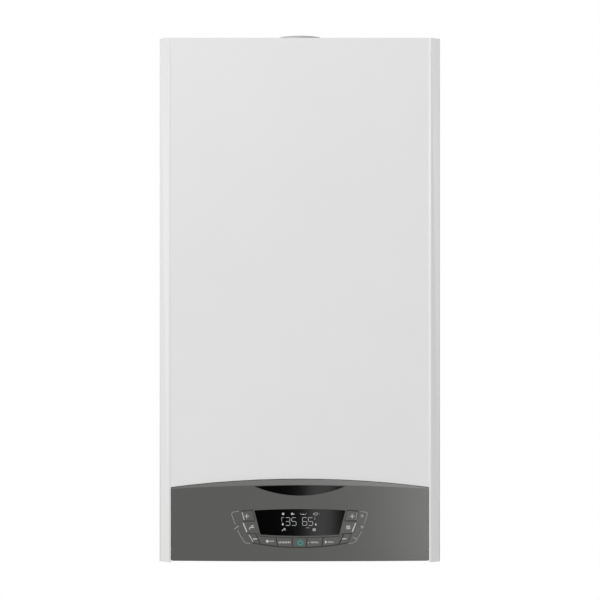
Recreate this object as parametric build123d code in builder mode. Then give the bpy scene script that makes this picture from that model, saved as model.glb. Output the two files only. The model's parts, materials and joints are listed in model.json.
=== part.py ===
from build123d import *
import os

os.makedirs("parts", exist_ok=True)

# Wall-hung combi boiler. x runs to the right, the wall is the plane y = 0 with the front
# towards -y, and z is measured up from the lower edge of the casing.

# Casing
case_width = 400
case_height = 745
face_depth = 313  # wall to the flat front face
sheet = 1.2
bevel_width = 14
bevel_depth = 9
ridge_rise = 1  # the bevels rise to a ridge this far in front of the flat face
ridge_width = 3
ridge_fold = 2
side_fold = 3
cover_return = 31  # side wall of the cover behind its bevel
seam = 1.5  # joint between the cover and the side panels
flange = 12  # folded edges of the sheet panels
slip = 0.4  # clearance between pieces that lie side by side
pipe_pass = 3.5  # clearance round a pipe that leaves through the connection plate
back_y = -8  # rear face of the back panel

half_width = case_width / 2
face_y = -face_depth
inner_face_y = face_y + sheet
cover_rear_y = face_y + bevel_depth + cover_return
side_front_y = cover_rear_y + seam
panel_inner = half_width - sheet
panel_half = panel_inner - slip
back_front_y = back_y - sheet - slip

# Wall bracket: its lip passes through the back panel's window and carries the upper edge
bracket_half = half_width - 50
bracket_low = case_height - 133
hook_z = case_height - 55
hook_height = 14
hook_reach = 14
wall_plate = 3
window_height = 24
bolt_radius = 4.5
bolt_spacing = 240
bolt_z = case_height - 95

# Control fascia
fascia_half = half_width - 17.7
fascia_low = 2.2
arch_end = 106.1
arch_crown = 117.9
bow_crown = 6  # the fascia stands this far in front of the cover at its middle
bow_edge = 1.5  # and this far at its ends
band_height = 7.4  # sloping band under the arch, at its middle
fascia_depth = 8  # fascia behind the cover's face
fascia_wall = 2.5
fascia_corner = 1.2
fascia_gap = 0.8
core_half = 90  # the fascia is solid behind the keys as far as this
core_wall = 2.5
crown_y = face_y - bow_crown
edge_y = face_y - bow_edge
fascia_rear_y = face_y + fascia_depth

# Display window
display_half_top = 64.8
display_half_low = 55.9
display_top = 74.4
display_low = 40
display_rise = 1.9  # bow of the display's upper and lower edges
display_corner = 1
lens_thick = 2.8
lens_fit = 0.15
lens_half = 64.6
lens_low = 95.2
lens_margin = 0.6  # strip of fascia between the lens and the band
lens_back_y = crown_y + lens_thick

# Ring of keys
lip = 2  # rim between the display and the keys
ring_top_half = 83.5
ring_top = 73.4
ring_side_half = 77.4
ring_low_half = 67.1
ring_low = 28.2
ring_bottom = 21.8
ring_corner = 2
tile_low = 41.7
tile_top = 59.2
row_top = 42.2
row_bottom = 20.3
key_gap = 0.6
key_proud = 0.4
key_thick = 7
key_travel = 1.2
key_stop = 0.3  # left over behind a key that is fully pressed
key_back_y = crown_y + key_thick
floor_y = key_back_y + key_travel + key_stop

# Control box and hinge of the control panel
box_half = half_width - 30
box_low = 4
box_high = 77  # where the sloping top of the box meets its bevelled rear edge
box_shoulder = 60
box_rear = face_y + 66
box_wall = 2.5
rim_top = 90
rim_thick = 2
board_y = face_y + 17
board_z = 42
board_thick = 1.6
board_half = 145
board_height = 62
post_x = 130
post_height = 50
pivot_y = face_y + 15
pivot_z = 8
pivot_radius = 3
pin_length = 12
running_fit = 0.05
boss_half = 6.5
boss_gap = 1.6
bracket_thick = 2
screw_x = half_width - 8.5
screw_y = face_y + 25
slot_width = 5

# Flue
flue_y = face_y + 163
exhaust_bore = 60.4
exhaust_wall = 4.3
socket_low = case_height - 33
flue_top = case_height + 23.2
air_bore = 100
collar_wall = 3
collar_height = 16
collar_flange = 14
collar_corner = 20
web_height = 12
web_thick = 3
exhaust_radius = exhaust_bore / 2
air_radius = air_bore / 2

# Sealed chamber
chamber_floor = case_height - 405
chamber_rear = face_y + 213
chamber_front = face_y + 17
chamber_wall = 1.5
chamber_rim = 28
seal_width = 12
seal_inset = 12
seal_gap = 0.3
pin_radius = 2.5
pin_reach = 10
pin_x = half_width - 50
pin_drop = 7
hook_gap = 0.3
hook_plate_half = 10
chamber_half = half_width - flange - slip
chamber_top = case_height - sheet - 0.6
rim_front = chamber_front - sheet
pin_z = chamber_top - pin_drop

# Heat exchanger with its burner door
drum_x = -62
drum_z = case_height - 185
drum_radius = 100
drum_rear = chamber_rear - 5
drum_front = drum_rear - 120
rib_count = 10
rib_height = 4
rib_width = 5
sump_half = 49
sump_top = drum_z - 85
sump_front = drum_front + 5
sump_rear = drum_rear - 15
sump_low = chamber_floor - slip
hood_half = 37
hood_top = drum_z + 112
door_radius = 92
door_thick = 12
door_front = drum_front - door_thick
nut_count = 6
nut_size = 6.4
nut_height = 6
electrode_radius = 4.5
electrode_length = 24

# Fan, duct, intake and gas valve
duct_thick = 34
duct_radius = 42
duct_arm = 40
duct_corner = 18
duct_front = door_front - duct_thick
fan_x = half_width - 88
fan_z = drum_z - 90
fan_radius = 55
outlet_width = 40
motor_radius = 30
motor_length = 30
plug_width = 26
plug_height = 22
venturi_half = 30
venturi_length = 22
venturi_corner = 12
intake_width = 48
intake_depth = 34
intake_wall = 3
intake_top = fan_z + 170
gas_valve_x = fan_x + 8
gas_valve_y = door_front + 33
valve_width = 50
valve_length = 66
valve_low = chamber_floor + 6
valve_high = valve_low + 58
valve_neck = 8
coil_width = 28
coil_length = 14
coil_height = 18

# Water and gas side
plate_low = 20  # underside of the connection plate
plate_thick = 1.5
plate_front = face_y + 73
plate_top = plate_low + plate_thick
tail_pitch = 65
tail_y = face_y + 173
tail_drop = 18
tail_slot = 34
thread_large = 13.22  # G 3/4 pipe thread, outer radius
thread_small = 10.48  # G 1/2 pipe thread, outer radius
tail_wall = 2.5
tail_bore_depth = 58
pipe_radius = 11
stub_spread = 32
gas_pipe_radius = 7.5
manifold_half = 18
manifold_bevel = 5
manifold_z = 85
manifold_end = 22  # the manifolds run this far past their outer tails
manifold_low = manifold_z - manifold_half
manifold_high = manifold_z + manifold_half
manifold_front = tail_y - manifold_half
port_x = 77
port_half = 11
diverter_x = -134
diverter_width = 44
diverter_length = 46
diverter_low = 120
diverter_height = 46
exchanger_plates = 6
exchanger_pitch = 8
exchanger_front = tail_y + 30
exchanger_half = 94
exchanger_height = 76
exchanger_z = 98
exchanger_bevel = 12
pump_x = 105
pump_y = tail_y - 2
pump_z = 158
pump_radius = 42
pump_half = 22
pump_can = 39
pump_can_length = 44
terminal_width = 70
terminal_length = 22
neck_width = 30
neck_high = 206
vent_x = 74
vent_radius = 9
vent_height = 14
vessel_radius = 165
vessel_gap = 6.4  # between the vessel and the chamber in front of it
vessel_z = hook_z - wall_plate - vessel_radius - 2
vessel_thick = back_front_y - chamber_rear - vessel_gap
vessel_pipe_x = 110
vessel_pipe_y = back_front_y - 0.55 * vessel_thick
vessel_pipe_radius = 5
vessel_stub_low = vessel_z - vessel_radius + 35
vessel_stub_height = 30
trap_x = drum_x
trap_y = sump_front + 20
trap_low = 164
trap_width = 48
trap_length = 44
trap_lid = 24
condensate_radius = 10.75
condensate_wall = 1.8
condensate_low = -12
gauge_x = half_width - 37
gauge_y = plate_front + 37
gauge_radius = 20
gauge_low = 4
needle_gap = 0.3
discharge_x = gauge_x - 31
discharge_y = tail_y - 42
discharge_radius = 7.5
discharge_low = -10
valve_half = 12  # half the safety valve's square body
knob_back = discharge_y - 14.4
knob_radius = 14
knob_length = 22
knob_sides = 8
shaft_radius = 4
shaft_depth = 30
tap_x = 65
tap_y = plate_front + 45
tap_high = 84
tap_link = 14
tap_shaft = 3
tap_depth = 18
tap_knob_low = 2
tap_knob_radius = 13
gland_x = 35 - half_width
gland_y = plate_front + 35
gland_size = 11
gland_length = 10
cord_radius = 4

return_x = drum_x + stub_spread
flow_x = drum_x - stub_spread
tail_radii = [thread_large, thread_small, thread_large, thread_small, thread_large]
tails = [((i - 2) * tail_pitch, tail_radii[i]) for i in range(5)]

def front_plane(y):
    """Plane parallel to the wall at y, seen from the front: local x is x, local y is z."""
    return Plane.XZ.offset(-y)


def arch_face(half, low, drop, gap=0):
    """Outline of the fascia: straight sides and a wide arc on top, lowered by drop."""
    rise = (arch_crown - arch_end) * (half / fascia_half) ** 2
    top = arch_crown - drop + gap
    with BuildSketch() as face:
        with BuildLine():
            ThreePointArc((-half, top - rise), (0, top), (half, top - rise))
            Polyline((half, top - rise), (half, low), (-half, low), (-half, top - rise))
        make_face()
    return face.sketch


def bowed_block(rear_y, proud=0, inset=0):
    """Block whose front is the fascia's bow, moved forward by proud and back by inset."""
    shift = inset - proud
    low = fascia_low + inset
    reach = fascia_half - inset
    with BuildPart() as block:
        with BuildSketch(Plane.XY.offset(low)):
            with BuildLine():
                ThreePointArc((-reach, edge_y + shift), (0, crown_y + shift), (reach, edge_y + shift))
                Polyline((reach, edge_y + shift), (reach, rear_y), (-reach, rear_y), (-reach, edge_y + shift))
            make_face()
        extrude(amount=arch_crown)
    return block.part


def fascia_form(inset):
    """The fascia's outside, drawn in all round by inset, with its sloping upper band."""
    wide = 2 * fascia_half
    band_start = face_y + inset
    with BuildPart() as form:
        add(bowed_block(fascia_rear_y, inset=inset))
        with BuildSketch(front_plane(fascia_rear_y)):
            add(arch_face(fascia_half - inset, fascia_low + inset, inset))
            chamfer(vertices().group_by(Axis.Y)[0], max(fascia_corner - inset, 0.5))
        extrude(amount=fascia_depth + 2 * bow_crown, mode=Mode.INTERSECT)
        with BuildPart(mode=Mode.PRIVATE) as band:
            with BuildSketch(front_plane(band_start)):
                add(arch_face(wide, -wide, inset))
            extrude(amount=-2 * fascia_depth)
            with BuildSketch(front_plane(band_start)):
                add(arch_face(wide, -wide, inset))
            extrude(amount=2 * bow_crown, dir=(0, -bow_crown, -band_height))
        add(band.part, mode=Mode.INTERSECT)
    return form.part


def display_face(margin=0, extra=0):
    """Outline of the display window, let out by margin and raised by extra at the top."""
    with BuildSketch() as face:
        with BuildLine():
            ThreePointArc(
                (-display_half_top, display_top),
                (0, display_top + display_rise),
                (display_half_top, display_top),
            )
            Line((display_half_top, display_top), (display_half_low, display_low))
            ThreePointArc(
                (display_half_low, display_low),
                (0, display_low - display_rise),
                (-display_half_low, display_low),
            )
            Line((-display_half_low, display_low), (-display_half_top, display_top))
        make_face()
        fillet(vertices(), display_corner)
        if margin:
            offset(amount=margin)
        if extra:
            with Locations((0, display_top + extra / 2)):
                Rectangle(2 * (display_half_top + margin), extra)
    return face.sketch


def ring_face():
    """The U-shaped band of keys round the display."""
    side_z = (ring_top + ring_low) / 2
    with BuildSketch() as face:
        with BuildLine():
            ThreePointArc((-ring_top_half, ring_top), (0, ring_top + 4), (ring_top_half, ring_top))
            ThreePointArc((ring_top_half, ring_top), (ring_side_half, side_z), (ring_low_half, ring_low))
            ThreePointArc((ring_low_half, ring_low), (0, ring_bottom), (-ring_low_half, ring_low))
            ThreePointArc((-ring_low_half, ring_low), (-ring_side_half, side_z), (-ring_top_half, ring_top))
        make_face()
        fillet(vertices(), ring_corner)
        add(display_face(lip, 20), mode=Mode.SUBTRACT)
    return face.sketch


def lens_face(shrink):
    """The lens in the arch: its upper edge is parallel to the arch, its lower edge hangs."""
    top = arch_crown - band_height - lens_margin
    tip = top - (arch_crown - arch_end) * (lens_half / fascia_half) ** 2
    with BuildSketch() as face:
        with BuildLine():
            ThreePointArc((-lens_half, tip), (0, top), (lens_half, tip))
            ThreePointArc((lens_half, tip), (0, lens_low), (-lens_half, tip))
        make_face()
        if shrink:
            offset(amount=-shrink)
    return face.sketch


# Lines that part the keys, and for each key the cell of the ring between two of them
corner_line = [(-62.8, tile_low), (-52.1, row_bottom)]
outer_line = [(-34.3, row_top), (-30.7, row_bottom)]
inner_line = [(-10.8, row_top), (-9.4, row_bottom)]
key_cells = {
    "key_water_up": [(-100, tile_top), (-40, tile_top), (-40, 90), (-100, 90)],
    "key_water_down": [(-100, 10), corner_line[1], corner_line[0], (-100, tile_low)],
    "key_comfort": [corner_line[1], outer_line[1], outer_line[0], corner_line[0]],
    "key_mode": [outer_line[1], inner_line[1], inner_line[0], outer_line[0]],
    "key_power": [inner_line[1], (9.4, row_bottom), (10.8, row_top), inner_line[0]],
}
mirrored_keys = {
    "key_heating_up": "key_water_up",
    "key_heating_down": "key_water_down",
    "key_reset": "key_comfort",
    "key_automatic": "key_mode",
}


def key_face(corners):
    """One cell of the ring, drawn in by half the gap between keys."""
    with BuildSketch() as cell:
        add(ring_face())
        with BuildSketch(mode=Mode.INTERSECT):
            with BuildLine():
                Polyline(*corners, close=True)
            make_face()
        offset(amount=-key_gap / 2, mode=Mode.REPLACE)
    return cell.sketch


# ---- control panel -------------------------------------------------------------------

with BuildPart() as control_fascia:
    add(fascia_form(0))
    with BuildPart(mode=Mode.PRIVATE) as hollow:
        add(fascia_form(fascia_wall))
        with BuildSketch(Plane.XY):
            with Locations((0, floor_y + core_wall - core_half)):
                Rectangle(2 * core_half, 2 * core_half)
        extrude(amount=2 * arch_crown, mode=Mode.SUBTRACT)
    add(hollow.part, mode=Mode.SUBTRACT)
    # pockets of the keys, parted by the two fixed tiles
    with BuildSketch(front_plane(floor_y)):
        add(ring_face())
        with Locations((0, (tile_low + tile_top) / 2)):
            with GridLocations(2 * ring_top_half, 1, 2, 1):
                Rectangle(2 * (ring_top_half - display_half_low), tile_top - tile_low, mode=Mode.SUBTRACT)
    extrude(amount=2 * key_thick, mode=Mode.SUBTRACT)
    with BuildSketch(front_plane(lens_back_y)):
        add(display_face())
        add(lens_face(0))
    extrude(amount=2 * lens_thick, mode=Mode.SUBTRACT)
control_fascia.part.label = "control_fascia"
export_step(control_fascia.part, "parts/control_fascia.step")

with BuildPart() as black_lens:
    with BuildSketch(front_plane(lens_back_y)):
        add(lens_face(lens_fit))
    extrude(amount=2 * lens_thick)
    add(bowed_block(fascia_rear_y), mode=Mode.INTERSECT)
black_lens.part.label = "black_lens"
export_step(black_lens.part, "parts/black_lens.step")

with BuildPart() as display_window:
    with BuildSketch(front_plane(lens_back_y)):
        add(display_face(-lens_fit))
    extrude(amount=2 * lens_thick)
    add(bowed_block(fascia_rear_y), mode=Mode.INTERSECT)
display_window.part.label = "display_window"
export_step(display_window.part, "parts/display_window.step")

key_parts = {}
for key_name, corners in key_cells.items():
    with BuildPart() as key:
        with BuildSketch(front_plane(key_back_y)):
            add(key_face(corners))
        extrude(amount=2 * key_thick)
        add(bowed_block(fascia_rear_y, proud=key_proud), mode=Mode.INTERSECT)
    key.part.label = key_name
    export_step(key.part, f"parts/{key_name}.step")
    key_parts[key_name] = key.part

for key_name, twin in mirrored_keys.items():
    with BuildPart() as key:
        add(mirror(key_parts[twin], about=Plane.YZ))
    key.part.label = key_name
    export_step(key.part, f"parts/{key_name}.step")


# The box hangs on its two pin blocks and carries the fascia on its rim.
bracket_x = half_width - flange - bracket_thick - slip
block_end = bracket_x - boss_gap
block_length = block_end - box_half + 1
box_front = fascia_rear_y + slip
rim_half = fascia_half - fascia_wall - 0.5
rim_low = fascia_low + fascia_wall + 0.5
with BuildPart() as control_box:
    with BuildSketch(Plane.YZ.offset(-box_half)):
        with BuildLine():
            Polyline(
                (box_front, box_low),
                (box_rear - 5, box_low),
                (box_rear, box_low + 5),
                (box_rear, box_shoulder),
                (box_rear - box_high + box_shoulder, box_high),
                (box_front, rim_top),
                close=True,
            )
        make_face()
    extrude(amount=2 * box_half)
    offset(amount=-box_wall, openings=control_box.faces().sort_by(Axis.Y)[0])
    with BuildSketch(front_plane(box_front)):
        with Locations((0, (rim_top + rim_low) / 2)):
            Rectangle(2 * rim_half, rim_top - rim_low)
        with Locations((0, (rim_top + box_low) / 2)):
            Rectangle(2 * (box_half - box_wall), rim_top - box_low - 2 * box_wall, mode=Mode.SUBTRACT)
    extrude(amount=rim_thick)
    for side in (-1, 1):
        with BuildSketch(Plane.YZ.offset(side * block_end)):
            with Locations((pivot_y, pivot_z)):
                Rectangle(2 * boss_half, 2 * boss_half)
        extrude(amount=-side * block_length)
        with BuildSketch(Plane.YZ.offset(side * block_end)):
            with Locations((pivot_y, pivot_z)):
                Circle(pivot_radius + running_fit)
        extrude(amount=-side * block_length, mode=Mode.SUBTRACT)
    # two posts behind the circuit board
    with BuildSketch(front_plane(box_rear - box_wall + 1)):
        with Locations((0, board_z)):
            with GridLocations(2 * post_x, 1, 2, 1):
                Rectangle(6, post_height)
    extrude(amount=box_rear - box_wall + 1 - board_y - board_thick)
control_box.part.label = "control_box"
export_step(control_box.part, "parts/control_box.step")

board_rear = board_y + board_thick
socket_row = 200
with BuildPart() as circuit_board:
    with BuildSketch(front_plane(board_rear)):
        with Locations((0, board_z)):
            Rectangle(2 * board_half, board_height)
    extrude(amount=board_thick)
    # display module in front, transformer, relays and a row of plugs behind
    with BuildSketch(front_plane(board_y)):
        with Locations((0, (display_top + display_low) / 2)):
            Rectangle(2 * display_half_low, display_top - display_low - 6)
    extrude(amount=board_y - floor_y - core_wall - 1)
    with BuildSketch(front_plane(board_rear)):
        with Locations((-80, board_z)):
            Rectangle(46, 38)
        with Locations((10, board_z), (38, board_z), (66, board_z)):
            Rectangle(20, 30)
    extrude(amount=-24)
    with BuildSketch(front_plane(board_rear)):
        with Locations((-5, board_z - board_height / 2 + 9)):
            Rectangle(socket_row, 9)
    extrude(amount=-12)
circuit_board.part.label = "circuit_board"
export_step(circuit_board.part, "parts/circuit_board.step")

# ---- casing --------------------------------------------------------------------------

# One side panel is a channel in plan, its flanges turned inwards.
with BuildPart() as side_panel_left:
    with BuildSketch(Plane.XY):
        with BuildLine():
            Polyline(
                (-half_width + flange, 0),
                (-half_width, 0),
                (-half_width, side_front_y),
                (-half_width + flange, side_front_y),
                (-half_width + flange, side_front_y + sheet),
                (-panel_inner, side_front_y + sheet),
                (-panel_inner, -sheet),
                (-half_width + flange, -sheet),
                close=True,
            )
        make_face()
    extrude(amount=case_height)
    with BuildSketch(Plane.XY):
        with Locations((-half_width + flange / 2, side_front_y / 2)):
            Rectangle(flange, -side_front_y)
    extrude(amount=sheet)
side_panel_left.part.label = "side_panel_left"
export_step(side_panel_left.part, "parts/side_panel_left.step")

with BuildPart() as side_panel_right:
    add(mirror(side_panel_left.part, about=Plane.YZ))
side_panel_right.part.label = "side_panel_right"
export_step(side_panel_right.part, "parts/side_panel_right.step")

with BuildPart() as wall_bracket:
    with BuildSketch(Plane.YZ.offset(-bracket_half)):
        with BuildLine():
            Polyline(
                (0, bracket_low),
                (0, hook_z),
                (wall_plate - hook_reach, hook_z),
                (wall_plate - hook_reach, hook_z + hook_height),
                (-hook_reach, hook_z + hook_height),
                (-hook_reach, hook_z - wall_plate),
                (-wall_plate, hook_z - wall_plate),
                (-wall_plate, bracket_low),
                close=True,
            )
        make_face()
    extrude(amount=2 * bracket_half)
    with BuildSketch(front_plane(0)):
        with Locations((0, bolt_z)):
            with GridLocations(bolt_spacing, 1, 2, 1):
                Circle(bolt_radius)
    extrude(amount=wall_plate, mode=Mode.SUBTRACT)
wall_bracket.part.label = "wall_bracket"
export_step(wall_bracket.part, "parts/wall_bracket.step")
with BuildPart() as back_panel:
    with BuildSketch(front_plane(back_y)):
        with Locations((0, case_height / 2)):
            Rectangle(2 * panel_half, case_height - 2 * sheet - 2 * slip)
        with Locations((0, hook_z + slip - window_height / 2)):
            Rectangle(2 * (bracket_half + 8), window_height, mode=Mode.SUBTRACT)
    extrude(amount=sheet)
    for side in (-1, 1):
        with BuildSketch(Plane.XY.offset(sheet + slip)):
            with Locations((side * (panel_half - sheet / 2), back_y - flange / 2)):
                Rectangle(sheet, flange)
        extrude(amount=case_height - 2 * sheet - 2 * slip)
back_panel.part.label = "back_panel"
export_step(back_panel.part, "parts/back_panel.step")

with BuildPart() as top_plate:
    with BuildSketch(Plane.XY.offset(case_height - sheet)):
        with Locations((0, side_front_y / 2)):
            Rectangle(2 * panel_half, -side_front_y - 2 * sheet - 2 * slip)
        with Locations((0, flue_y)):
            Circle(air_radius, mode=Mode.SUBTRACT)
    extrude(amount=sheet)
top_plate.part.label = "top_plate"
export_step(top_plate.part, "parts/top_plate.step")
with BuildPart() as connection_plate:
    with BuildSketch(Plane.XY.offset(plate_low)):
        with Locations((0, (plate_front + back_front_y) / 2)):
            Rectangle(2 * (panel_half - flange), back_front_y - plate_front)
    extrude(amount=plate_thick)
    with BuildSketch(Plane.XY.offset(plate_low)):
        with Locations((gland_x, gland_y)):
            RegularPolygon(gland_size, 6)
    extrude(amount=-gland_length)
    # one slot for the row of tails, round holes for the other pipes and the cable gland
    with BuildSketch(Plane.XY.offset(plate_top)):
        with Locations((0, tail_y)):
            Rectangle(4 * tail_pitch + tail_slot, tail_slot)
        with Locations((discharge_x, discharge_y)):
            Circle(discharge_radius + pipe_pass)
        with Locations((trap_x, trap_y)):
            Circle(condensate_radius + pipe_pass)
        with Locations((tap_x, tap_y)):
            Circle(tap_shaft + slip)
        with Locations((gland_x, gland_y)):
            Circle(cord_radius)
    extrude(amount=-plate_thick - gland_length, mode=Mode.SUBTRACT)
    # folded edges that stand on the side panels' lower flanges
    for side in (-1, 1):
        with BuildSketch(Plane.XY.offset(sheet)):
            with Locations((side * (panel_half - flange / 2 - sheet / 2), plate_front / 2)):
                Rectangle(flange + sheet, -plate_front / 2)
        extrude(amount=sheet)
        with BuildSketch(Plane.XY.offset(sheet)):
            with Locations((side * (panel_half - flange - sheet / 2), plate_front / 2)):
                Rectangle(sheet, -plate_front / 2)
        extrude(amount=plate_top - sheet)
connection_plate.part.label = "connection_plate"
export_step(connection_plate.part, "parts/connection_plate.step")

ridge_x = half_width - bevel_width
hook_plate_y = rim_front - pin_reach + 4
hook_low = pin_z - 5
with BuildPart() as front_cover:
    with BuildSketch(Plane.XY):
        with BuildLine():
            Polyline(
                (-half_width, cover_rear_y),
                (-half_width, face_y + bevel_depth),
                (-ridge_x, face_y - ridge_rise),
                (-ridge_x + ridge_width, face_y),
                (ridge_x - ridge_width, face_y),
                (ridge_x, face_y - ridge_rise),
                (half_width, face_y + bevel_depth),
                (half_width, cover_rear_y),
                close=True,
            )
        make_face()
        fillet(vertices().filter_by_position(Axis.Y, face_y - ridge_rise, face_y), ridge_fold)
        fillet(vertices().filter_by_position(Axis.Y, face_y + bevel_depth, face_y + bevel_depth), side_fold)
    extrude(amount=case_height)
    open_faces = [front_cover.faces().sort_by(Axis.Y)[-1], front_cover.faces().sort_by(Axis.Z)[0]]
    offset(amount=-sheet, openings=open_faces)
    # lower flanges beside the fascia, each with a slot for its screw
    strip = half_width - fascia_half - fascia_gap - sheet
    for side in (-1, 1):
        with BuildSketch(Plane.XY):
            with BuildLine():
                Polyline(
                    (side * (panel_inner + 0.5), cover_rear_y),
                    (side * (panel_inner - strip + 1), cover_rear_y),
                    (side * (panel_inner - strip + 1), inner_face_y - 0.5),
                    (side * ridge_x, inner_face_y - 0.5),
                    (side * (panel_inner + 0.5), face_y + bevel_depth),
                    close=True,
                )
            make_face()
            with Locations((side * screw_x, (screw_y + cover_rear_y) / 2)):
                Rectangle(slot_width, cover_rear_y - screw_y, mode=Mode.SUBTRACT)
        extrude(amount=sheet)
    # plates with a hole that hang on the chamber's pins
    with BuildSketch(front_plane(hook_plate_y)):
        for side in (-1, 1):
            with Locations((side * pin_x, (hook_low + case_height - sheet / 2) / 2)):
                Rectangle(2 * hook_plate_half, case_height - sheet / 2 - hook_low)
            with Locations((side * pin_x, pin_z)):
                Rectangle(2 * (pin_radius + hook_gap), 2 * (pin_radius + hook_gap), mode=Mode.SUBTRACT)
    extrude(amount=sheet)
    with BuildSketch(front_plane(face_y + sheet + 1)):
        add(arch_face(fascia_half + fascia_gap, -1, 0, gap=fascia_gap))
    extrude(amount=2 * sheet + 1, mode=Mode.SUBTRACT)
front_cover.part.label = "front_cover"
export_step(front_cover.part, "parts/front_cover.step")

# Brackets on the side panels' lower flanges, which carry the hinge pins
bracket_high = pivot_z + boss_half
foot_low = sheet + 0.3
foot_x = bracket_x + bracket_thick
foot_width = panel_half - foot_x
with BuildPart() as hinge_brackets:
    with BuildSketch(Plane.YZ.offset(bracket_x)):
        with BuildLine():
            Polyline(
                (side_front_y + flange, sheet),
                (side_front_y, sheet),
                (side_front_y, foot_low),
                (pivot_y - boss_half, foot_low),
                (pivot_y - boss_half, bracket_high),
                (pivot_y + boss_half, bracket_high),
                (side_front_y + flange, pivot_z),
                close=True,
            )
        make_face()
    extrude(amount=bracket_thick)
    # the rear foot rests on the side panel, the front one takes the cover's screw
    with BuildSketch(Plane.XY.offset(sheet)):
        with Locations((foot_x + foot_width / 2, side_front_y + flange / 2)):
            Rectangle(foot_width, flange - 2 * sheet)
    extrude(amount=bracket_thick)
    with BuildSketch(Plane.XY.offset(foot_low)):
        with Locations((foot_x + foot_width / 2 - 2, screw_y)):
            Rectangle(foot_width - 2, flange)
    extrude(amount=bracket_thick)
    with BuildSketch(Plane.YZ.offset(foot_x)):
        with Locations((pivot_y, pivot_z)):
            Circle(pivot_radius)
    extrude(amount=-bracket_thick - pin_length)
    mirror(about=Plane.YZ)
hinge_brackets.part.label = "hinge_brackets"
export_step(hinge_brackets.part, "parts/hinge_brackets.step")

# ---- flue ----------------------------------------------------------------------------

# One moulding: the square foot and collar of the air duct, with the exhaust socket in it
exhaust_outer = exhaust_radius + exhaust_wall
web_middle = (exhaust_outer + air_radius) / 2
with BuildPart() as flue_adaptor:
    with BuildSketch(Plane.XY.offset(case_height)):
        with Locations((0, flue_y)):
            Rectangle(2 * (air_radius + collar_flange), 2 * (air_radius + collar_flange))
            chamfer(vertices(), collar_corner)
            Circle(air_radius, mode=Mode.SUBTRACT)
    extrude(amount=2)
    with BuildSketch(Plane.XY.offset(case_height)):
        with Locations((0, flue_y)):
            Circle(air_radius + collar_wall)
            Circle(air_radius, mode=Mode.SUBTRACT)
    extrude(amount=collar_height)
    with BuildSketch(Plane.XY.offset(socket_low)):
        with Locations((0, flue_y)):
            Circle(exhaust_outer)
            Circle(exhaust_radius, mode=Mode.SUBTRACT)
    extrude(amount=flue_top - socket_low)
    with BuildSketch(Plane.XY.offset(case_height)):
        with Locations((0, flue_y)):
            with PolarLocations(web_middle, 3, start_angle=90):
                Rectangle(air_radius - exhaust_outer + 1, web_thick)
    extrude(amount=web_height)
flue_adaptor.part.label = "flue_adaptor"
export_step(flue_adaptor.part, "parts/flue_adaptor.step")

# ---- sealed chamber ------------------------------------------------------------------

chamber_mid = (chamber_floor + chamber_top) / 2
chamber_height = chamber_top - chamber_floor
sump_mid = (sump_front + sump_rear) / 2
with BuildPart() as chamber_tray:
    with BuildSketch(front_plane(chamber_rear)):
        with Locations((0, chamber_mid)):
            Rectangle(2 * chamber_half, chamber_height)
    extrude(amount=chamber_rear - chamber_front)
    offset(amount=-chamber_wall, openings=chamber_tray.faces().sort_by(Axis.Y)[0])
    with BuildSketch(front_plane(chamber_front)):
        with Locations((0, chamber_mid)):
            Rectangle(2 * chamber_half, chamber_height)
            Rectangle(2 * (chamber_half - chamber_rim), chamber_height - 2 * chamber_rim, mode=Mode.SUBTRACT)
    extrude(amount=sheet)
    # pins that carry the front cover
    with BuildSketch(front_plane(chamber_front)):
        with Locations((-pin_x, pin_z), (pin_x, pin_z)):
            Circle(pin_radius)
    extrude(amount=sheet + pin_reach)
    with BuildSketch(Plane.XY.offset(chamber_top - 2 * chamber_wall)):
        with Locations((0, flue_y)):
            Circle(air_radius)
    extrude(amount=3 * chamber_wall, mode=Mode.SUBTRACT)
    with BuildSketch(Plane.XY.offset(chamber_floor - chamber_wall)):
        with Locations((drum_x, sump_mid)):
            Rectangle(2 * (sump_half + slip), sump_rear - sump_front + 2 * slip)
        with Locations((gas_valve_x, gas_valve_y)):
            Circle(gas_pipe_radius + slip)
    extrude(amount=3 * chamber_wall, mode=Mode.SUBTRACT)
chamber_tray.part.label = "chamber_tray"
export_step(chamber_tray.part, "parts/chamber_tray.step")

seal_height = chamber_height - 2 * seal_inset
with BuildPart() as chamber_seal:
    with BuildSketch(front_plane(rim_front)):
        with Locations((0, chamber_mid)):
            Rectangle(2 * (chamber_half - seal_inset), seal_height)
            Rectangle(
                2 * (chamber_half - seal_inset - seal_width), seal_height - 2 * seal_width, mode=Mode.SUBTRACT
            )
    extrude(amount=rim_front - inner_face_y - seal_gap)
chamber_seal.part.label = "chamber_seal"
export_step(chamber_seal.part, "parts/chamber_seal.step")

# The ribbed drum stands on a sump that fills the opening in the tray's floor.
with BuildPart() as heat_exchanger:
    with BuildSketch(front_plane(drum_rear)):
        with Locations((drum_x, drum_z)):
            Circle(drum_radius)
    extrude(amount=drum_rear - drum_front)
    with BuildSketch(front_plane(drum_rear)):
        with Locations((drum_x, drum_z)):
            with PolarLocations(drum_radius, rib_count, start_angle=180 / rib_count):
                Rectangle(2 * rib_height, rib_width)
    extrude(amount=drum_rear - drum_front)
    with BuildSketch(Plane.XY.offset(sump_low)):
        with Locations((drum_x, sump_mid)):
            Rectangle(2 * sump_half, sump_rear - sump_front)
    extrude(amount=sump_top - sump_low)
    with BuildSketch(Plane.XY.offset(drum_z)):
        with Locations((0, flue_y)):
            Rectangle(2 * hood_half, 2 * hood_half)
    extrude(amount=hood_top - drum_z)
    with BuildSketch(Plane.XY.offset(hood_top)):
        with Locations((0, flue_y)):
            Circle(exhaust_outer)
    extrude(amount=socket_low - hood_top)
heat_exchanger.part.label = "heat_exchanger"
export_step(heat_exchanger.part, "parts/heat_exchanger.step")

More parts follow.
